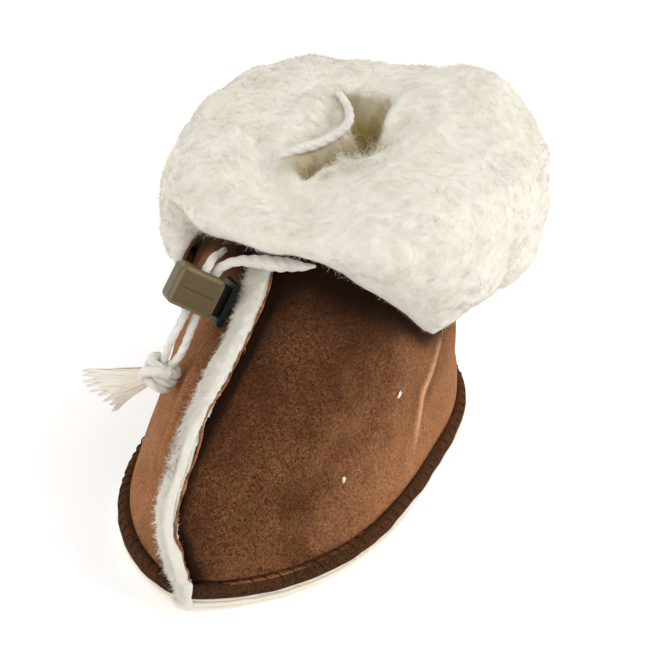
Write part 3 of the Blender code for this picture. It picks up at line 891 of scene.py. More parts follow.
def grow_fibres(
    name, base, pile, chance, steps, finished_as="fleece_fibre", flow=(0, 0, 0), length_of=None, soft=True
):
    """A piece of many fibres rooted on a base piece.

    Chance gives each face's share of the fibres, flow is the way they are brushed, and length_of gives each
    one's share of the pile's length. Soft fibres take their light from the skin under them, as one mat.
    """
    rng = np.random.default_rng(pile.seed)
    count = pile.count
    roots, normals = scattered(base.data, count, rng, chance)
    template, along, across = fibre_template(steps)

    lean_way = drift(roots, 9.0, pile.seed) + 0.45 * drift(roots, 2.5, pile.seed + 3)
    if any(flow):
        lean_way = lean_way * 0.6 + np.array(flow)
    lean_way = lean_way + rng.normal(0, 0.12, (count, 3))
    lean_way = unit(lean_way - (lean_way * normals).sum(axis=1, keepdims=True) * normals)
    beside = np.cross(normals, lean_way)
    length = pile.length * MM * rng.uniform(0.55, 1.25, count)
    stray = rng.random(count) < 0.09
    length[stray] *= 1.5
    if length_of:
        length *= length_of(roots / MM)
    lean = np.clip(pile.lean + rng.normal(0, 0.12, count) - 0.35 * stray, 0, 1)
    phase = rng.uniform(0, 2 * math.pi, count)
    winding = rng.uniform(4.0, 9.0, count)

    def line(share):
        """Where every fibre is at one share of its length."""
        rise = 1 - lean
        up = share * (rise + 0.3 * (1 - share))
        over = share * np.sqrt(1 - rise**2)
        turn = winding * share + phase
        wind = pile.curl * share
        side = wind * (np.cos(turn) - np.cos(phase))
        out = over + 0.6 * wind * (np.sin(turn) - np.sin(phase))
        offset = up[:, None] * normals + out[:, None] * lean_way + side[:, None] * beside
        return roots + offset * length[:, None]

    leaders = rng.choice(count, max(1, count // pile.in_lock), replace=False)
    tree = KDTree(len(leaders))
    for index, leader in enumerate(leaders):
        tree.insert(roots[leader], index)
    tree.balance()
    follow = np.array([leaders[tree.find(root)[1]] for root in roots])

    places = np.zeros((count, len(along), 3))
    facing = unit(normals + rng.normal(0, 0.12, (count, 3)))
    direction = unit(line(1.0) - roots)
    side = unit(np.cross(direction, facing))
    front = unit(np.cross(side, direction))
    flip = np.sign((front * normals).sum(axis=1))
    side *= np.where(flip == 0, 1, flip)[:, None]
    for index, (share, offset) in enumerate(zip(along, across)):
        line_here = line(share)
        drawn = (pile.gather * share**1.3 * ~stray)[:, None]
        line_here = line_here + drawn * (line_here[follow] - line_here)
        width = pile.width * MM * (1 - 0.55 * share)
        places[:, index] = line_here + offset * width * side
    tone = 0.5 * rng.random(count) + 0.5 * rng.random(count)[follow]
    mesh = fibre_mesh(name, template, along, places, tone)
    # fibres deep in the mouth's folds get the painted shade of the folds, wisps much less of it
    set_attribute(mesh, "hollow", np.repeat(hollowness(roots) * (1.0 if soft else 0.25), len(along)))
    if soft:
        shading = unit(normals + 0.15 * front)
        mesh.normals_split_custom_set_from_vertices(np.repeat(shading, len(along), axis=0).tolist())
    return add_piece(name, mesh, [finished_as])


def smooth_route(points, spacing):
    """Evenly spaced points, in metres, along a smooth curve through a route's own points in millimetres."""
    points = np.array(points, float)
    run = run_along(points)
    fine = np.linspace(0, run[-1], 40 * len(points))
    slopes = np.gradient(points, run, axis=0)
    index = np.clip(np.searchsorted(run, fine) - 1, 0, len(run) - 2)
    span = (run[index + 1] - run[index])[:, None]
    part = (fine - run[index])[:, None] / span
    low = points[index] * (1 + 2 * part) * (1 - part) ** 2 + slopes[index] * span * part * (1 - part) ** 2
    high = points[index + 1] * part**2 * (3 - 2 * part) - slopes[index + 1] * span * part**2 * (1 - part)
    curve = low + high
    run = run_along(curve)
    even = np.linspace(0, run[-1], max(4, round(run[-1] / spacing) + 1))
    return np.column_stack([np.interp(even, run, column) for column in curve.T]) * MM


def twisted_mesh(name, route, radius, lay, lobes=3, swell=None):
    """A mesh of twisted cord along a route. Swell gives the radius's share from the share of the way along."""
    profile = bpy.data.curves.new(name + "_profile", "CURVE")
    ring = profile.splines.new("POLY")
    around = 24
    ring.points.add(around - 1)
    for index, point in enumerate(ring.points):
        turn = 2 * math.pi * index / around
        reach = 1 - 0.14 * (0.5 - 0.5 * math.cos(lobes * turn)) ** 1.5
        point.co = (reach * math.cos(turn), reach * math.sin(turn), 0, 1)
    ring.use_cyclic_u = True
    profile_object = placed(name + "_profile", profile)

    curve = bpy.data.curves.new(name, "CURVE")
    curve.dimensions = "3D"
    curve.bevel_mode = "OBJECT"
    curve.bevel_object = profile_object
    curve.use_fill_caps = True
    spline = curve.splines.new("POLY")
    spline.points.add(len(route) - 1)
    run = run_along(route)
    for index, point in enumerate(spline.points):
        share = run[index] / run[-1]
        point.co = (*route[index], 1)
        point.radius = radius * (swell(share) if swell else 1.0)
        point.tilt = 2 * math.pi * run[index] / lay
    holder = placed(name, curve)
    bpy.context.view_layer.update()
    graph = bpy.context.evaluated_depsgraph_get()
    mesh = bpy.data.meshes.new_from_object(holder.evaluated_get(graph), depsgraph=graph)
    for old, data in ((holder, curve), (profile_object, profile)):
        bpy.data.objects.remove(old)
        bpy.data.curves.remove(data)
    shape = bmesh.new()
    shape.from_mesh(mesh)
    bmesh.ops.remove_doubles(shape, verts=shape.verts[:], dist=0.001 * MM)
    bmesh.ops.recalc_face_normals(shape, faces=shape.faces[:])
    shape.to_mesh(mesh)
    shape.free()
    mesh.shade_smooth()
    return mesh


def joined_meshes(meshes):
    """One bmesh of several meshes, which are then gone."""
    shape = bmesh.new()
    for mesh in meshes:
        shape.from_mesh(mesh)
        bpy.data.meshes.remove(mesh)
    for face in shape.faces:
        face.smooth = True
    return shape


# ---------------------------------------------------------------- lock places


def lock_frame():
    """The lock's own axes: X along the slide, Y into its back, Z up along the cords."""
    slide = LOCK_SLIDE.normalized()
    back = (slide * LOCK_FACE.dot(slide) - LOCK_FACE).normalized()
    place = Matrix((slide, back, slide.cross(back))).transposed().to_4x4()
    place.translation = LOCK_MIDDLE * MM
    return place


def in_lock(along, up):
    """A place in millimetres from the lock's middle plane: so far along the slide and so far up."""
    return tuple((lock_frame() @ (Vector((along, 0, up)) * MM)) / MM)


def round_edges(shape, radius, segments):
    """Rounds all of a bmesh's edges. The radius is in millimetres."""
    edges, offset = shape.edges[:], radius * MM
    bmesh.ops.bevel(shape, geom=edges, offset=offset, segments=segments, profile=0.5, affect="EDGES", material=-1)


def block(size, middle=(0, 0, 0), round_off=0.0, segments=4):
    """A bmesh box in the lock's own axes, its edges rounded off."""
    shape = bmesh.new()
    bmesh.ops.create_cube(shape, size=1, matrix=Matrix.Diagonal((*(Vector(size) * MM), 1)))
    if round_off:
        round_edges(shape, round_off, segments)
    bmesh.ops.translate(shape, verts=shape.verts[:], vec=Vector(middle) * MM)
    return shape


def carved(name, shape, cuts, joins=()):
    """A mesh in the lock's axes with other boxes joined to it and cut out of it."""
    holder = placed(name, mesh_of(name, shape))
    tools = []
    for operation, boxes in (("UNION", joins), ("DIFFERENCE", cuts)):
        for box in boxes:
            tool = placed("tool", mesh_of("tool", box))
            modifier = holder.modifiers.new("shape", "BOOLEAN")
            modifier.operation = operation
            modifier.solver = "EXACT"
            modifier.object = tool
            tools.append(tool)
    settle(holder)
    for tool in tools:
        bpy.data.meshes.remove(tool.data)
    mesh = holder.data
    bpy.data.objects.remove(holder)
    return mesh


# ---------------------------------------------------------------- pieces


def make_stage(stage):
    """The floor, the lights and the camera."""
    shape = bmesh.new()
    bmesh.ops.create_grid(shape, x_segments=1, y_segments=1, size=6.0)
    floor = placed("floor", mesh_of("floor", shape))
    made, tree, shader = new_material("floor", Roughness=0.9, Specular_IOR_Level=0.1)
    place = add_node(tree, "ShaderNodeTexCoord").outputs["Object"]
    tint = mixed(tree, speckle(tree, place, 3.0), shaded(stage.floor, 0.97), stage.floor)
    wire(tree, shader, Base_Color=tint)
    shader.inputs["Emission Color"].default_value = (1, 1, 1, 1)
    shader.inputs["Emission Strength"].default_value = stage.glow
    floor.data.materials.append(made)

    target = Vector(CAMERA_TARGET)
    for name, size, place in LAMPS:
        light = bpy.data.lights.new(name, "AREA")
        light.energy = getattr(stage, name)
        light.size = size
        lamp = placed(name, light)
        lamp.location = place
        lamp.rotation_euler = (target - Vector(place)).to_track_quat("-Z", "Y").to_euler()
    world = bpy.data.worlds.new("studio")
    world.use_nodes = True
    backdrop = world.node_tree.nodes["Background"]
    backdrop.inputs["Color"].default_value = (1.0, 0.995, 0.985, 1)
    backdrop.inputs["Strength"].default_value = stage.sky
    bpy.context.scene.world = world
    bpy.context.scene.view_settings.view_transform = "Standard"

    turn, rise = stage.azimuth, stage.elevation
    back = Vector((math.sin(turn) * math.cos(rise), -math.cos(turn) * math.cos(rise), math.sin(rise)))
    right = Vector((math.cos(turn), math.sin(turn), 0))
    up = back.cross(right)
    data = bpy.data.cameras.new("camera")
    data.lens = stage.lens
    data.clip_start = 0.05
    camera = placed("camera", data)
    camera.location = target + back * stage.distance
    aim = target + right * CAMERA_SHIFT[0] * MM + up * CAMERA_SHIFT[1] * MM
    camera.rotation_mode = "QUATERNION"
    camera.rotation_quaternion = (aim - camera.location).to_track_quat("-Z", "Y")
    bpy.context.scene.camera = camera


def end_route(along, route, shift):
    """One end of the drawstring: from the collar, down through the lock and into the knot."""
    top, bottom = BARREL.z / 2, -BARREL.z / 2
    knot = KNOT_MIDDLE + Vector((shift, 0.4, KNOT_SIZE.z / 2 + 0.7))
    inside = KNOT_MIDDLE + Vector((shift * 0.4, 0.2, KNOT_SIZE.z / 2 - 2.5))
    through = (in_lock(along, top + 2.0), in_lock(along, 0), in_lock(along, bottom - 1.5))
    return smooth_route((*route, *through, tuple(knot), tuple(inside)), CORD_STEP)


def make_drawstring(cord):
    """The two ends that run through the lock to the knot, and the bight that shows in the mouth."""
    radius = cord.diameter / 2
    pieces = []
    for name, along, route, shift, thickness, nodes in (
        (
            "cord_end_crossing",
            SLOT_MIDDLE + STRANDS_APART,
            CROSSING_ROUTE,
            4.0,
            BAR_THICKNESS,
            ("drawstring_crossing", "cord_strand_b"),
        ),
        (
            "cord_end_side",
            SLOT_MIDDLE - STRANDS_APART,
            SIDE_ROUTE,
            1.0,
            SIDE_THICKNESS,
            ("drawstring_side", "cord_strand_a"),
        ),
    ):
        route = end_route(along, route, shift)
        mesh = twisted_mesh(name, route, radius, cord.lay, swell=lambda share: looked_up(share, thickness))
        piece = add_piece(name, mesh, ["cotton"], nodes)
        pieces.append((piece, route, float(np.linalg.norm(np.diff(route, axis=0), axis=1).sum())))
    route = smooth_route(INSIDE_ROUTE, CORD_STEP)
    slim = lambda share: 0.68 + 0.3 * smooth_step(share, 0.1, 0.5)
    mesh = twisted_mesh("cord_in_mouth", route, radius, cord.lay, swell=slim)
    add_piece("cord_in_mouth", mesh, ["cotton"], ["drawstring_inside"])
    return pieces


def make_knot(cord):
    """The knot: three wraps round both ends, and a loop that leads to the tassel."""
    radius = cord.diameter / 2
    axis = Vector((0.35, 0.1, 0.93)).normalized()
    across = axis.cross(Vector((0, 1, 0))).normalized()
    deep = axis.cross(across)
    turns, height = 2.85, 5.8
    route = []
    for share in (step / 60 for step in range(61)):
        turn = -0.6 + share * 2 * math.pi * turns
        swing = 2.75 + 0.35 * math.sin(2.3 * turn)
        down = axis * (height / 2 - height * share)
        point = KNOT_MIDDLE + down + across * swing * math.cos(turn) + deep * 0.75 * swing * math.sin(turn)
        route.append(tuple(point))
    wraps = twisted_mesh("wraps", smooth_route(route, 0.4), radius * 1.02, cord.lay)
    way = (TASSEL_END - KNOT_MIDDLE).normalized()
    loop = [KNOT_MIDDLE + Vector(place) for place in ((3.0, -1.8, 1.2), (0.4, -2.9, 2.2), (-2.6, -2.6, 1.4))]
    loop.append(KNOT_MIDDLE + way * 4.2 + Vector((0, 0.2, -0.2)))
    over = twisted_mesh("over", smooth_route([tuple(point) for point in loop], 0.4), radius * 1.05, cord.lay)
    core = bmesh.new()
    bmesh.ops.create_icosphere(core, subdivisions=3, radius=0.5)
    bmesh.ops.scale(core, verts=core.verts[:], vec=KNOT_SIZE * 0.72 * MM)
    bmesh.ops.translate(core, verts=core.verts[:], vec=KNOT_MIDDLE * MM)
    whole = joined_meshes([wraps, over, mesh_of("core", core)])
    return add_piece("cord_knot_wraps", whole, ["cotton"], ["cord_knot"])


def make_tassel():
    """The frayed ends: two flattened strands that open into pointed tufts."""
    rng = np.random.default_rng(41)
    way = (TASSEL_END - KNOT_MIDDLE).normalized()
    root = KNOT_MIDDLE + way * 3.6
    up = Vector((0, 0, 1)) - way * way.z
    up.normalize()
    deep = way.cross(up)
    reach = (TASSEL_END - root).length
    count, tufts = 2600, 9
    template, along, across = fibre_template(7)
    fan = rng.uniform(-1, 1, count)
    tuft = np.round((fan + 1) / 2 * (tufts - 1)).astype(int)
    tuft_middle = np.linspace(-1, 1, tufts) + rng.normal(0, 0.03, tufts)
    tuft_reach = reach * (0.92 + 0.1 * tuft_middle) * rng.uniform(0.91, 1.06, tufts)
    angle, off = rng.uniform(0, 2 * math.pi, count), np.sqrt(rng.random(count))
    start_up = 1.5 * fan + 0.6 * off * np.cos(angle)
    start_deep = 1.3 * off * np.sin(angle)
    length = tuft_reach[tuft] * rng.uniform(0.86, 1.0, count)
    wild = rng.random(count) < 0.04
    phase = rng.uniform(0, 2 * math.pi, count)
    loose = rng.normal(0, 1.0, (count, 2))
    root, way, up, deep = (np.array(each) for each in (root, way, up, deep))

    def line(share):
        """Where every fibre is at one share of its length."""
        gathered = smooth_step(share, 0.5, 1.0)
        spot = fan + (tuft_middle[tuft] - fan) * 0.97 * gathered
        high = start_up * (1 - share) + (5.9 * spot - 0.7) * share
        high = high + (0.12 + 0.3 * wild) * loose[:, 0] * share * (1.2 - share)
        high = high + 0.18 * np.sin(5 * share + phase) * share
        back = start_deep * (1 - 0.7 * share) * (1 - 0.7 * gathered)
        back = back + 0.15 * loose[:, 1] * share * (1 - share)
        run = length * (share - 0.12 * share**2 * fan**2)
        return root + run[:, None] * way + high[:, None] * up + back[:, None] * deep

    direction = unit(line(0.6) - line(0.4))
    outward = 0.4 * start_up[:, None] * up + start_deep[:, None] * deep
    outward = unit(outward + rng.normal(0, 0.2, (count, 3)))
    side = unit(np.cross(direction, outward))
    places = np.zeros((count, len(along), 3))
    for index, (share, offset) in enumerate(zip(along, across)):
        width = 0.26 * (1 - 0.5 * share)
        places[:, index] = line(share) + offset * width * side
    mesh = fibre_mesh("cord_frayed_ends", template, along, places * MM, rng.random(count))
    return add_piece("cord_frayed_ends", mesh, ["cotton_fibre"], ["cord_tassel"])


def worn_edges(mesh, size, middle=(0, 0, 0), reach=0.9):
    """The edge attribute: how near each point is to two faces of a box at once."""
    away = np.array(size) / 2 - np.abs(points_of(mesh) / MM - np.array(middle))
    away.sort(axis=1)
    # paler near the edges: partly rubbing, partly a painted highlight
    set_attribute(mesh, "edge", 1 - smooth_step(away[:, 1], 0.15, reach))


def add_lock_part(name, mesh, finish_name, node, body):
    """Adds one of the lock's parts from a mesh in the lock's own axes."""
    mesh.transform(lock_frame())
    mesh.shade_smooth()
    mesh.set_sharp_from_angle(angle=math.radians(32))
    add_piece(name, mesh, [finish_name], [node], body)


def make_lock():
    """The moulded body with its slot and parting line, and the plunger inside it."""
    chamber_size = (BARREL.x, BARREL.y - 2 * BARREL_WALL, BARREL.z - 2 * BARREL_WALL)
    chamber = block(chamber_size, (BARREL_WALL, 0, 0))
    slot = block(SLOT, (SLOT_MIDDLE, 0, 0))
    groove = block((BARREL.x * 0.66, 0.36, 0.2), (0.2, -BARREL.y / 2, 0))
    body = carved("lock_body", block(BARREL, round_off=1.5, segments=5), (chamber, slot, groove))
    shape = bmesh.new()
    shape.from_mesh(body)
    long_edges = [edge for edge in shape.edges if edge.calc_length() > 0.8 * MM]
    bmesh.ops.subdivide_edges(shape, edges=long_edges, cuts=4, use_grid_fill=True)
    bmesh.ops.triangulate(shape, faces=[face for face in shape.faces if len(face.verts) > 4])
    shape.to_mesh(body)
    shape.free()
    worn_edges(body, BARREL)
    add_lock_part("lock_body", body, "lock_plastic", "lock_barrel", BODY)

    plate_middle = BARREL.x / 2 + PLATE_GAP + PLATE.x / 2
    stem_end = -BARREL.x / 2 + BARREL_WALL + PLUNGER_TRAVEL + 0.3
    inside = 2 * (BARREL_WALL + RUNNING_GAP)
    stem_size = (plate_middle - stem_end, BARREL.y - inside, BARREL.z - inside)
    stem = block(stem_size, ((plate_middle + stem_end) / 2, 0, 0))
    window_size = SLOT + Vector((PLUNGER_TRAVEL, 2 * RUNNING_GAP, 0))
    window = block(window_size, (SLOT_MIDDLE + PLUNGER_TRAVEL / 2, 0, 0))
    plunger = carved("lock_push_plate", block(PLATE, (plate_middle, 0, 0), 0.6, 4), (window,), (stem,))
    worn_edges(plunger, PLATE, (plate_middle, 0, 0), 0.5)
    add_lock_part("lock_push_plate", plunger, "plate_plastic", "lock_plunger", "plunger")


def make_sole():
    """The natural suede sole and the fleece pressed over it."""
    # the sole, slightly uneven and drawn in under the fleece, its underside flat on the floor
    outsole = add_piece("sole_suede", cad_shape("outsole"), ["natural_suede"], ["outsole"])
    subdivide(outsole, 1)
    points = points_of(outsole.data)
    points += normals_of(outsole.data) * (0.12 * ripple(points, 4.0, 2.0) * MM)[:, None]
    points[:, :2] -= unit(points[:, :2]) * 0.7 * MM
    points[:, 2] = np.maximum(points[:, 2], 0)
    set_points(outsole.data, points)
    set_attribute(outsole.data, "rub", 0.5 + 0.5 * ripple(points, 9.0))

    rim = add_piece("sole_fleece_rim", cad_shape("sole_fleece"), ["fleece_skin"], ["sole_fleece"])
    subdivide(rim, 1)
    points = points_of(rim.data)
    points += normals_of(rim.data) * (0.2 * ripple(points, 2.5, 5.0) * MM)[:, None]
    set_points(rim.data, points)

    def at_rim(middles, normals):
        """The faces that show between the sole and the upper."""
        return (normals[:, 2] < 0.75) * (np.abs(normals[:, 2]) < 0.9) * (middles[:, 2] < 5.5)

    pile = Pile(4200, 1.0, 0.09, 0.85, 0.3, 0.3, 8, 71)
    grow_fibres("sole_rim_fibres", rim, pile, at_rim, 2)


def lining_faces(mesh):
    """True for the faces that look into the slipper's hollow: rays from them meet its other side."""
    tree = surface_of("upper", "outsole", "sole_fleece")
    rays, reach, spread_out = 8, 0.09, 0.8
    inside = []
    for polygon in mesh.polygons:
        normal = polygon.normal
        start = polygon.center + normal * 0.6 * MM
        beside = normal.orthogonal()
        turns = [Matrix.Rotation(turn * 2 * math.pi / rays, 3, normal) @ beside for turn in range(rays)]
        hits = sum(tree.ray_cast(start, normal + spread_out * slant, reach)[0] is not None for slant in turns)
        inside.append(hits >= rays / 2)
    return np.array(inside)


def flange_top(points):
    """Height of the turned edge's upper side, in millimetres, which rises at the toe."""
    return FLANGE_TOP + 1.5 * smooth_step(-points[:, 1] / MM, 42, 59)


def from_outline(points):
    """Distance in from the sole's outline, in millimetres."""
    places, _, _ = sole_outline(1.0)
    outline = np.column_stack((places, np.zeros(len(places)))) / MM
    flat = np.column_stack((points[:, :2], np.zeros(len(points))))
    away, _ = distance_to(flat, [*outline, outline[0]])
    return away


def toe_side(points):
    """1 on the right of the toe, where the turned edge is narrower."""
    return smooth_step(points[:, 0] / MM, 1, 8) * (1 - smooth_step(points[:, 1] / MM, -32, -12))


def wall_push(points, above, held, crease, fold, grooves):
    """How far the suede stands out from its solid, in millimetres, for its unevenness, creases and folds."""
    on_wall = smooth_step(above, 0.5, 4)
    push = on_wall * (0.4 * ripple(points, 16.0, 1.0) + 0.12 * ripple(points, 5.0, 4.0))
    low_bulge = 1.5 + 0.9 * toe_side(points)
    push += low_bulge * smooth_step(above, -0.1, 0.8) * (1 - smooth_step(above, 2, 13))
    push += on_wall * held * (0.3 * near(crease, 1.0) - 0.15 * near(crease, 1.3, 2.6))
    push += 0.6 * near(fold, 2.2) - 0.5 * near(fold, 1.6, 4.0)
    right, left = grooves
    push -= 0.75 * near(right, 0.8, 0.9) + 0.3 * near(right, 1.4, 3.0)
    return push - 0.5 * near(left, 0.8, 0.8)


def turned_edge(points, normals, above, rim):
    """Where the turned edge is, and how far it moves out and up, in millimetres, to be round and uneven."""
    on_edge = (1 - smooth_step(rim, 2.8, EDGE_WIDTH)) * (1 - smooth_step(above, 0.6, 1.6))
    near_rim = on_edge * (1 - smooth_step(rim, 0.4, 2.6))
    uneven = 0.5 * ripple(points, 5.0, 9.0) + 0.3 * ripple(points, 12.0, 2.0) + 0.15
    top = smooth_step(normals[:, 2], 0.6, 0.95) * on_edge
    rounded = np.sin(math.pi * np.clip(rim / EDGE_WIDTH, 0, 1))
    raised = top * (0.6 * rounded + 0.3 * ripple(points, 3.0, 6.0))
    upward = raised - 1.1 * near_rim * (1 - smooth_step(rim, 0.2, 1.6))
    return on_edge, near_rim * np.maximum(uneven, -0.2), upward


def shade_upper(mesh, points, normals, above, held, crease, fold, grooves):
    """The suede's painted light and shade: paler where its nap is rubbed and where light and sheen are painted on
    its sides, a painted highlight along its crease, and painted shade under the collar and beside the strip.
    """
    on_wall = smooth_step(above, 0.5, 4)
    z = points[:, 2] / MM
    facing = np.degrees(np.arctan2(normals[:, 0], -normals[:, 1]))  # 0 at the front, 90 on the right
    behind = smooth_step(-facing, 120, 175)
    right_or_back = np.maximum(smooth_step(facing, 40, 56), behind)
    # painted paler low on the wall and by the way it faces: partly rubbed nap, partly painted light from the sides
    # and painted sheen
    low_band = 0.17 * (1 - smooth_step(above, 3, 20)) * (0.45 + 0.55 * right_or_back)
    low_band += 0.21 * (1 - smooth_step(above, 0.5, 5))
    rub = looked_up(facing, RUBBED_AND_LIT_SIDES) + low_band * on_wall
    # a painted highlight along the crease and the fold, and a little painted shade beside the crease
    rub = rub + 0.9 * held * near(crease, 0.65) + 0.17 * near(fold, 1.8) - 0.10 * held * near(crease, 1.2, 2.6)
    patches = 0.13 * ripple(points, 13.0, 7.0) + 0.12 * ripple(points, 5.0, 3.0) + 0.09 * ripple(points, 2.2, 5.0)
    rub += patches - 0.10

    # painted shadow under the collar, less on the left, then painted shade beside the strip on both of its sides
    below = hem_height(find_hem(), points / MM) - z
    reach = 8.5 - 5.3 * np.maximum(smooth_step(facing, 56, 80), behind)
    under = np.maximum(below, 0) / reach
    shade = 0.95 * near(under, 1.0) + 0.3 * near(under, 2.2)
    shade = (1 - 0.5 * smooth_step(-normals[:, 0], 0.1, 0.4) * smooth_step(below, 5, 8)) * shade
    right, left = grooves
    shade += 0.85 * near(right, 1.5) + 0.25 * near(right, 5.0) + 0.14 * near(right, 13.0)
    beside_strip = 0.5 * near(left, 1.2) + 0.35 * near(left, 3.2) * (1 - smooth_step(z, 30, 42))
    shade += beside_strip * (facing < 20)
    shade = np.clip(shade, 0, 1)
    set_attribute(mesh, "rub", np.clip(rub, 0, 1) * (1 - 0.8 * shade))
    set_attribute(mesh, "dark", shade)
    # pale: the painted highlight along the crease
    set_attribute(mesh, "pale", 0.45 * held * on_wall * near(crease, 0.95) * (1 - shade))
    set_attribute(mesh, "hollow", np.ones(len(points)))  # the lining takes the deep folds' colour: its own yellower wool and painted shade inside the slipper


def make_upper():
    """The suede upper with its turned edge, its folds and its lining."""
    finishes = ["brown_suede", "turned_edge", "fleece_skin"]
    upper = add_piece("suede_upper", cad_shape("upper"), finishes, ["upper"])
    subdivide(upper, 2)
    mesh = upper.data
    inside = lining_faces(mesh)
    points, normals = points_of(mesh), normals_of(mesh)
    above = points[:, 2] / MM - flange_top(points)
    crease, down = distance_to(points, on_upper(SIDE_CREASE))
    held = 1 - smooth_step(down, 0.5, 0.98)  # the crease fades out towards its lower end
    fold, _ = distance_to(points, SIDE_FOLD)
    left_edge, right_edge = (on_upper(route) for route in strip_edges())
    grooves = distance_to(points, right_edge)[0], distance_to(points, left_edge)[0]
    push = wall_push(points, above, held, crease, fold, grooves)
    lining = np.zeros(len(points), bool)
    for polygon, lined in zip(mesh.polygons, inside):
        if lined:
            lining[list(polygon.vertices)] = True
    push[lining] = 0
    on_edge, sideways, upward = turned_edge(points, normals, above, from_outline(points))
    moved = points + normals * ((push * (1 - on_edge)) * MM)[:, None]
    moved = moved + unit(points * (1, 1, 0)) * (sideways * MM)[:, None]
    moved[:, 2] += upward * MM
    set_points(mesh, moved)
    shade_upper(mesh, points, normals, above, held, crease, fold, grooves)

    middles = np.array([polygon.center[:] for polygon in mesh.polygons])
    narrow = toe_side(middles)
    edge_faces = from_outline(middles) < 3.1 - 1.3 * narrow
    edge_faces &= middles[:, 2] / MM - flange_top(middles) < 1.0 - 0.65 * narrow
    for polygon, lined, turned in zip(mesh.polygons, inside, edge_faces):
        polygon.material_index = 1 if turned else 2 if lined else 0


def strip_shift(heights):
    """How far left of its middle line the strip lies at a height, in millimetres."""
    return looked_up(heights, STRIP_SHIFT)


def strip_edges():
    """Routes along the front strip's two edges, from the toe up to the collar."""
    top, spacing, reach = 60, 2.5, 2.0
    points = points_of(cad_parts["front_seam_strip"].data) / MM
    points[:, 0] -= strip_shift(points[:, 2])
    edges = []
    for take in (np.argmin, np.argmax):
        route = []
        for height in np.arange(FLANGE_TOP + 1, top, spacing):
            level = points[np.abs(points[:, 2] - height) < reach]
            if len(level):
                found = level[take(level[:, 0])]
                route.append((found[0], found[1], height))
        edges.append(route)
    return edges


def on_upper(route):
    """A route moved onto the suede."""
    surface = surface_of("upper")
    return [tuple(surface.find_nearest(Vector(point) * MM)[0] / MM) for point in route]


def make_front_strip():
    """The strip of fleece over the front seam and the toe, and the hide's cut edge beside it."""
    shape = cad_shape("front_seam_strip")

    # a block that carries the strip down over the toe, wider at its top
    toe = bmesh.new()
    bmesh.ops.create_cube(toe, size=1, matrix=Matrix.Diagonal((*(Vector((4.1, 2.2, 7.4)) * MM), 1)))
    round_edges(toe, 0.9, 3)
    for vert in toe.verts:
        vert.co.x *= 1.0 + 16.0 * vert.co.z
    bmesh.ops.translate(toe, verts=toe.verts[:], vec=Vector((-0.3, -57.8, 5.2)) * MM)
    merge(shape, toe)

    for vert in shape.verts:
        vert.co.x -= float(strip_shift(vert.co.z / MM)) * MM
    strip = add_piece("front_strip_fleece", shape, ["strip_skin"], ["front_seam_strip"])
    remesh(strip, 0.45, 3)
    points, normals = points_of(strip.data), normals_of(strip.data)
    push = -0.1 + 0.2 * ripple(points, 1.8, 1.0) + 0.22 * ripple(points, 7.0, 2.0)
    trimmed = smooth_step(points[:, 2] / MM, 9, 20) * smooth_step(normals[:, 0], 0.25, 0.7)
    push -= 1.1 * trimmed
    set_points(strip.data, points + normals * (push * MM)[:, None])

    def fuzzy(middles, normals):
        """Most fibres are on the strip's left side, and few on its trimmed right side."""
        share = 0.6 * (1 - smooth_step(normals[:, 0], -0.1, 0.3)) + 1.3 * smooth_step(-normals[:, 0], 0.2, 0.8)
        return share * (middles[:, 2] > 3.4)

    pile = Pile(13000, 1.45, 0.085, 0.74, 0.3, 0.5, 12, 23)
    grow_fibres("front_strip_fibres", strip, pile, fuzzy, 3, "strip_fibre", (-0.35, -0.1, -0.2))

    # the hide's cut edge, along the strip's right side
    route = []
    finished = points_of(strip.data) / MM
    for x, y, z in strip_edges()[1]:
        level = finished[np.linalg.norm(finished - (x - 0.8, y, z), axis=1) < 2.2]
        edge = level[np.argmax(level[:, 0])] + (-0.1, -0.05, -0.1) if len(level) else None
        if edge is not None and (not route or np.linalg.norm(edge - route[-1]) > 1.2):
            route.append(tuple(edge))
    rough = np.array(smooth_route(route, 0.5))
    rough += drift(rough, 1.6, 3.0) * 0.12 * MM
    swell = lambda share: 0.95 + 0.25 * math.sin(60 * share) * math.sin(17 * share)
    radius, turn = 0.36 * MM, 9.0 * MM
    edge = twisted_mesh("strip_cut_edge", rough, radius, turn, lobes=2, swell=swell)
    piece = add_piece("strip_cut_edge", edge, ["cut_edge"])
    set_attribute(piece.data, "rub", 0.3 + 0.6 * ripple(points_of(piece.data), 1.5))


def sole_outline(spacing):
    """Places round the turned edge's outline, evenly spaced, with the way along it and the way in."""
    flat = [(vert.co.x, vert.co.y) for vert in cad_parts["upper"].data.vertices]
    ring = np.array([flat[index] for index in geometry.convex_hull_2d([Vector(point) for point in flat])])
    ring = np.vstack((ring, ring[:1]))
    run = run_along(ring)
    count = round(run[-1] / (spacing * MM))
    even = np.linspace(0, run[-1], count, endpoint=False)
    places = np.column_stack([np.interp(even, run, column) for column in ring.T])
    along = unit(np.roll(places, -1, axis=0) - np.roll(places, 1, axis=0))
    inward = np.column_stack((-along[:, 1], along[:, 0]))
    inward *= np.sign(-(inward * places).sum(axis=1))[:, None]
    return places, along, inward


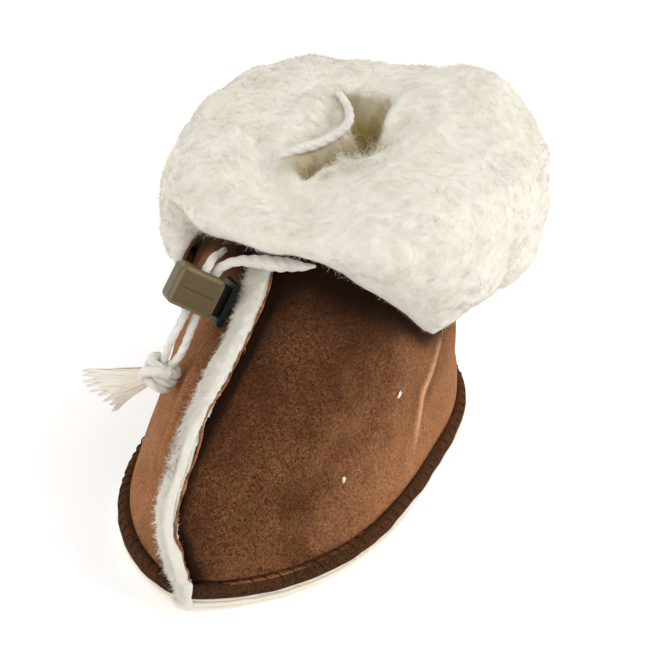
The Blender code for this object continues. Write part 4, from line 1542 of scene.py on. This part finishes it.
def make_stitches():
    """Brown whip stitches over the turned edge."""
    rng = np.random.default_rng(12)
    places, along, inward = sole_outline(STITCH_SPACING)
    surface = surface_of("upper")
    template = bmesh.new()
    bmesh.ops.create_cone(template, cap_ends=True, segments=6, radius1=0.5, radius2=0.5, depth=1)
    sides = [edge for edge in template.edges if abs(edge.verts[0].co.z - edge.verts[1].co.z) > 0.5]
    bmesh.ops.subdivide_edges(template, edges=sides, cuts=7)
    shares = np.array([vert.co.z + 0.5 for vert in template.verts])
    around = np.array([(vert.co.x, vert.co.y) for vert in template.verts])
    knots = np.linspace(0, 1, len(STITCH_PATH))

    def on_path(share):
        """Places on one stitch at shares of its length."""
        return np.column_stack([np.interp(np.clip(share, 0, 1), knots, column) for column in zip(*STITCH_PATH)])

    line, ahead, behind = on_path(shares), on_path(shares + 0.05), on_path(shares - 0.05)
    way = unit(ahead - behind)
    first = unit(np.cross(way, (0, 0, 1.0)) + 1e-6)
    second = np.cross(way, first)
    thick = STITCH_THICKNESS * (0.55 + 0.45 * np.sin(math.pi * np.clip(shares, 0.05, 0.95)))
    profile = line + (around[:, :1] * first + around[:, 1:] * second * 0.8) * thick[:, None]
    copies = []
    for place, run, into in zip(places, along, inward):
        probe = Vector((*(place + into * 1.5 * MM), 0.05))
        hit = surface.ray_cast(probe, Vector((0, 0, -1)))[0]
        top = hit.z if hit and hit.z < 9 * MM else FLANGE_TOP * MM
        if abs(place[0] + 0.5 * MM) < 3.2 * MM and place[1] < -50 * MM:
            continue  # the strip covers the edge at the toe
        skew = rng.normal(1.0, 0.4)
        size = rng.uniform(0.85, 1.1)
        inner, side, rise = np.array((*into, 0.0)), np.array((*run, 0.0)), np.array((0, 0, size))
        offset = profile[:, :1] * inner + profile[:, 2:] * skew * side + profile[:, 1:2] * rise
        copies.append(np.array((*place, top)) + offset * MM)
    mesh = joined_copies("edge_stitches", template, np.array(copies))
    add_piece("edge_stitches", mesh, ["brown_thread"])


class Hem(NamedTuple):
    """The collar's lower edge, by direction from the ankle's middle."""

    angles: np.ndarray
    inner: np.ndarray
    outer: np.ndarray
    above: np.ndarray


def ankle_axis(height):
    """x of the ankle's middle line at a height."""
    return looked_up(height, ANKLE_LEAN)


def angles_of(points):
    """Direction of points, in millimetres, from the ankle's middle, from -90 at the toe round to 270."""
    turn = np.degrees(np.arctan2(points[:, 1] - ANKLE[1], points[:, 0] - ankle_axis(points[:, 2])))
    return (turn + 90.0) % 360.0 - 90.0


def hem_lift(angles):
    """How far the fleece's edge is pulled up, in millimetres: behind its pointed corner and at the front left."""
    return looked_up(angles, HEM_LIFT)


def beside_ankle(angles):
    """1 on the right, where the collar is tucked in, falling to 0 towards the front and the back."""
    return looked_up(angles, ((-25, 0), (0, 1), (45, 1), (80, 0)))


def find_hem():
    """The two bottom points of each of the collar's stations, and the point above them on its inner side."""
    points = points_of(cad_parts["cuff"].data) / MM
    stations = 56
    step = 360.0 / stations
    index = np.round((angles_of(points) + 90.0) / step).astype(int) % stations
    rows = []
    for station in range(stations):
        own = np.unique(np.round(points[index == station], 3), axis=0)
        away = np.hypot(own[:, 0] - ankle_axis(own[:, 2]), own[:, 1] - ANKLE[1])
        bottom = own[:, 2] < own[:, 2].min() + 0.2
        low = own[bottom][np.argsort(away[bottom])]
        rest = own[~bottom]
        rest_away = away[~bottom]
        beside = rest[(rest_away < away[bottom].min() + 1.5) & (rest[:, 2] > low[0][2] + 0.5)]
        above = beside[np.argmin(beside[:, 2])] if len(beside) else low[0] + (0, 0, 3.0)
        lift = np.array((0, 0, hem_lift(station * step - 90.0)))
        rows.append((station * step - 90.0, low[0] + lift, low[-1] + lift, above + lift))
    return Hem(*(np.array(column) for column in zip(*rows)))


def hem_height(hem, points):
    """Height of the hem below each point, in millimetres."""
    return np.interp(angles_of(points), hem.angles, hem.outer[:, 2], period=360.0)


def make_hem(hem):
    """The collar's hide: its brown suede side against the upper, and its dark brown cut edge under the fleece."""
    shape = bmesh.new()
    loops = []
    lifted = hem.inner + (hem.above - hem.inner) * 0.9
    outward = unit((hem.inner - ANKLE) * (1, 1, 0))
    width = np.linalg.norm((hem.outer - hem.inner)[:, :2], axis=1)
    kept = np.maximum(width - TUCK * beside_ankle(hem.angles) - 1.3, 0.7) / np.maximum(width, 0.7)
    edge = hem.inner + (hem.outer - hem.inner) * kept[:, None]
    rows = (lifted + outward * 0.5, hem.inner + outward * 0.5 + (0, 0, 0.9), edge + outward * 0.1 + (0, 0, 0.4))
    for row in rows:
        verts = [shape.verts.new(Vector(point) * MM) for point in row]
        loops.append([shape.edges.new((a, b)) for a, b in zip(verts, verts[1:] + verts[:1])])
    for lower, upper in zip(loops, loops[1:]):
        bmesh.ops.bridge_loops(shape, edges=lower + upper)
    bmesh.ops.recalc_face_normals(shape, faces=shape.faces[:])
    piece = add_piece("collar_hide", shape, ["brown_suede", "turned_edge"])
    wall = piece.modifiers.new("wall", "SOLIDIFY")
    wall.thickness = HIDE_THICKNESS * MM
    wall.offset = 0
    wall.material_offset_rim = 1
    subdivide(piece, 2)
    points = points_of(piece.data)
    points += drift(points, 3.0, 4.0) * 0.22 * MM
    set_points(piece.data, points)
    set_attribute(piece.data, "rub", 0.5 + 0.5 * ripple(points, 1.2))


def mouth_folds():
    """The fleece gathered into the mouth by the drawstring, as a closed solid."""
    collar = surface_of("cuff")
    rim, within = [], 0.96
    for turn in np.linspace(0, 2 * math.pi, 61):
        x = MOUTH_MIDDLE[0] + within * MOUTH_SIZE[0] * math.cos(turn)
        y = MOUTH_MIDDLE[1] + within * MOUTH_SIZE[1] * math.sin(turn)
        hit = collar.ray_cast(Vector((x, y, 120)) * MM, Vector((0, 0, -1)))[0]
        rim.append((x, y, max(hit.z / MM - 1.0, LOWEST_RIM) if hit else LOWEST_RIM))
    shape = bmesh.new()
    bmesh.ops.create_grid(shape, x_segments=50, y_segments=64, size=0.5)
    bmesh.ops.scale(shape, verts=shape.verts[:], vec=(*(2 * Vector(MOUTH_SIZE) * MM), 1))
    bmesh.ops.translate(shape, verts=shape.verts[:], vec=(*(Vector(MOUTH_MIDDLE) * MM), 0))
    far = [vert for vert in shape.verts if from_mouth(np.array([vert.co[:]]))[0] > 1]
    bmesh.ops.delete(shape, geom=far, context="VERTS")
    points = np.array([vert.co[:] for vert in shape.verts])
    for vert, level in zip(shape.verts, mouth_surface(points, rim)):
        vert.co.z = level * MM
    floor = bmesh.ops.extrude_face_region(shape, geom=shape.faces[:])
    for vert in [item for item in floor["geom"] if isinstance(item, bmesh.types.BMVert)]:
        vert.co.z = FOLDS_FLOOR * MM
    bmesh.ops.recalc_face_normals(shape, faces=shape.faces[:])
    return shape


def make_cuff(fleece):
    """The turned-down collar of fleece, its folds into the mouth and its pile."""
    hem = find_hem()
    make_hem(hem)
    shape = cad_shape("cuff")
    bmesh.ops.recalc_face_normals(shape, faces=shape.faces[:])
    for vert in shape.verts:
        vert.co -= vert.normal * 0.5 * MM
    merge(shape, mouth_folds())
    cuff = add_piece("cuff_fleece", shape, ["fleece_skin"], ["cuff"])
    remesh(cuff, 1.0, 4)

    # drawn in low on the right, and its edge pulled up where HEM_LIFT says
    points = points_of(cuff.data)
    angles, over = angles_of(points / MM), points[:, 2] / MM - hem_height(hem, points / MM)
    beside = beside_ankle(angles)
    outward = unit((points - ANKLE * MM) * (1, 1, 0))
    outer = smooth_step((outward * normals_of(cuff.data)).sum(axis=1), -0.1, 0.4)
    tuck = TUCK * (1 - smooth_step(over, 4, 20))
    tuck = tuck - 1.8 * smooth_step(over, 20, 30) * (1 - smooth_step(over, 38, 48))
    points -= outward * (beside * outer * tuck * MM)[:, None]
    points[:, 2] += hem_lift(angles) * (1 - smooth_step(over, 1, 14)) * MM
    set_points(cuff.data, points)

    # uneven all over, less at its edge and in the mouth, and fuller in two places
    over_hem = smooth_step(points[:, 2] / MM - hem_height(hem, points / MM), 0.0, 5.0)
    push = 1.3 * ripple(points, 12.0, 3.0) + 0.6 * ripple(points, 5.0, 8.0) + 0.25 * ripple(points, 2.2, 5.0)
    push *= (0.25 + 0.75 * over_hem) * (1 - 0.6 * smooth_step(-from_mouth(points), -1.0, -0.7))
    for spot, reach, height in FULLER:
        push += height * near_spot(points / MM, spot, reach)
    set_points(cuff.data, points + normals_of(cuff.data) * (push * MM)[:, None])
    # darker and yellower deep in the mouth's folds: partly the wool's own colour, partly painted shade
    set_attribute(cuff.data, "hollow", hollowness(points_of(cuff.data)))

    def outside(middles, normals):
        """Where fibres show: not against the upper, nor on the hem, and sparser deep in the mouth."""
        away = middles - ANKLE
        outward = unit(away * (1, 1, 0))
        faces_in = (outward * normals).sum(axis=1) < -0.2
        under = (middles[:, 2] < 66) & faces_in
        clear = middles[:, 2] > hem_height(hem, middles) + 0.7
        seen = (middles[:, 0] < -5) & (middles[:, 1] < 2) & (middles[:, 2] > 50)
        return np.where(under & ~seen, 0.1, 1.0) * (clear | (np.hypot(away[:, 0], away[:, 1]) < 15))

    def near_hem(roots):
        """Fibres are shorter towards the collar's edge."""
        return 0.35 + 0.65 * smooth_step(roots[:, 2] - hem_height(hem, roots), 0.5, 6.0)

    length, width = fleece.pile_length / MM, fleece.fibre_width / MM
    for name, seed, low, high in (("left", 5, -1e3, 3.0), ("right", 6, 3.0, 1e3)):

        def on_side(middles, normals):
            return outside(middles, normals) * ((middles[:, 0] >= low) & (middles[:, 0] < high))

        pile = Pile(38000, length, width, 0.88, 0.28, 0.35, 14, seed)
        grow_fibres("cuff_pile_" + name, cuff, pile, on_side, 3, flow=(0, 0, 0.25), length_of=near_hem)

    def in_wisps(middles, normals):
        """Where long curls stand out: on the mouth's front ridge and at the collar's lower left."""
        shares = [share * near_spot(middles, middle, reach) for middle, reach, share in WISPS]
        return np.sum(shares, axis=0) * outside(middles, normals)

    curls = Pile(520, 2.9, 0.075, 0.5, 0.5, 0.5, 6, 17)
    grow_fibres("cuff_wisps", cuff, curls, in_wisps, 6, soft=False)


def make_lint():
    """Pale specks of fleece caught on the suede."""
    rng = np.random.default_rng(77)
    template, along, across = fibre_template(4)
    width = across * 0.34 * np.sin(math.pi * np.clip(along, 0.08, 0.95))
    surface = surface_of("upper")
    copies = []
    for spot, size, lean in LINT:
        root, normal, _, _ = surface.find_nearest(Vector(spot) * MM)
        out = np.array(normal)
        way = np.array((0.3, lean, 0.85))
        way = unit(way - (way @ out) * out)
        for _ in range(6):
            start = np.array(root) + out * 0.3 * MM + rng.normal(0, 0.06 * size, 3) * MM
            heading = unit(way + rng.normal(0, 0.2, 3))
            beside = unit(np.cross(out, heading))
            bend = rng.normal(0, 0.15)
            line = along[:, None] * heading + bend * along[:, None] ** 2 * beside + 0.1 * along[:, None] * out
            copies.append(start + line * size * MM + (width * MM)[:, None] * beside)
    mesh = fibre_mesh("suede_lint", template, along, np.array(copies), rng.random(len(copies)))
    add_piece("suede_lint", mesh, ["cotton_fibre"])


# ---------------------------------------------------------------- operators


class SLIPPER_OT_stage(bpy.types.Operator):
    """Add the floor, the lights and the camera"""

    bl_idname = "slipper.stage"
    bl_label = "Stage"

    def execute(self, context):
        make_stage(context.scene.slipper_stage)
        return {"FINISHED"}


class SLIPPER_OT_drawstring(bpy.types.Operator):
    """Add the drawstring with its knot and frayed ends"""

    bl_idname = "slipper.drawstring"
    bl_label = "Drawstring"

    def execute(self, context):
        cord = context.scene.slipper_cord
        ends = make_drawstring(cord)
        knot = make_knot(cord)
        tassel = make_tassel()
        return {"FINISHED"}


class SLIPPER_OT_lock(bpy.types.Operator):
    """Add the cord lock's body and its push plate"""

    bl_idname = "slipper.lock"
    bl_label = "Cord Lock"

    def execute(self, context):
        make_lock()
        return {"FINISHED"}


class SLIPPER_OT_sole(bpy.types.Operator):
    """Add the suede sole and its fleece"""

    bl_idname = "slipper.sole"
    bl_label = "Sole"

    def execute(self, context):
        make_sole()
        return {"FINISHED"}


class SLIPPER_OT_upper(bpy.types.Operator):
    """Add the suede upper, its stitches and the front strip"""

    bl_idname = "slipper.upper"
    bl_label = "Upper"

    def execute(self, context):
        make_upper()
        make_front_strip()
        make_stitches()
        make_lint()
        return {"FINISHED"}


class SLIPPER_OT_cuff(bpy.types.Operator):
    """Add the fleece collar"""

    bl_idname = "slipper.cuff"
    bl_label = "Collar"

    def execute(self, context):
        make_cuff(context.scene.slipper_fleece)
        return {"FINISHED"}


OPERATORS = (
    SLIPPER_OT_stage,
    SLIPPER_OT_drawstring,
    SLIPPER_OT_lock,
    SLIPPER_OT_sole,
    SLIPPER_OT_upper,
    SLIPPER_OT_cuff,
)


class SLIPPER_PT_pieces(bpy.types.Panel):
    """The slipper's pieces and settings"""

    bl_label = "Baby Slipper"
    bl_idname = "SLIPPER_PT_pieces"
    bl_space_type = "VIEW_3D"
    bl_region_type = "UI"
    bl_category = "Slipper"

    def draw(self, context):
        for operator in OPERATORS:
            self.layout.operator(operator.bl_idname)
        for group in SETTINGS:
            settings = getattr(context.scene, group)
            for name in settings.__annotations__:
                self.layout.prop(settings, name)


SETTINGS = {
    "slipper_suede": SlipperSuede,
    "slipper_fleece": SlipperFleece,
    "slipper_cord": SlipperCord,
    "slipper_lock": SlipperLock,
    "slipper_stage": SlipperStage,
}


def register():
    for each in (*SETTINGS.values(), *OPERATORS, SLIPPER_PT_pieces):
        bpy.utils.register_class(each)
    for name, group in SETTINGS.items():
        setattr(bpy.types.Scene, name, bpy.props.PointerProperty(type=group))


def unregister():
    for name in SETTINGS:
        delattr(bpy.types.Scene, name)
    for each in (SLIPPER_PT_pieces, *OPERATORS, *SETTINGS.values()):
        bpy.utils.unregister_class(each)


def main():
    register()
    bpy.ops.slipper.stage()
    bpy.ops.slipper.drawstring()
    bpy.ops.slipper.lock()
    bpy.ops.slipper.sole()
    bpy.ops.slipper.upper()
    bpy.ops.slipper.cuff()


if __name__ == "__main__":
    main()
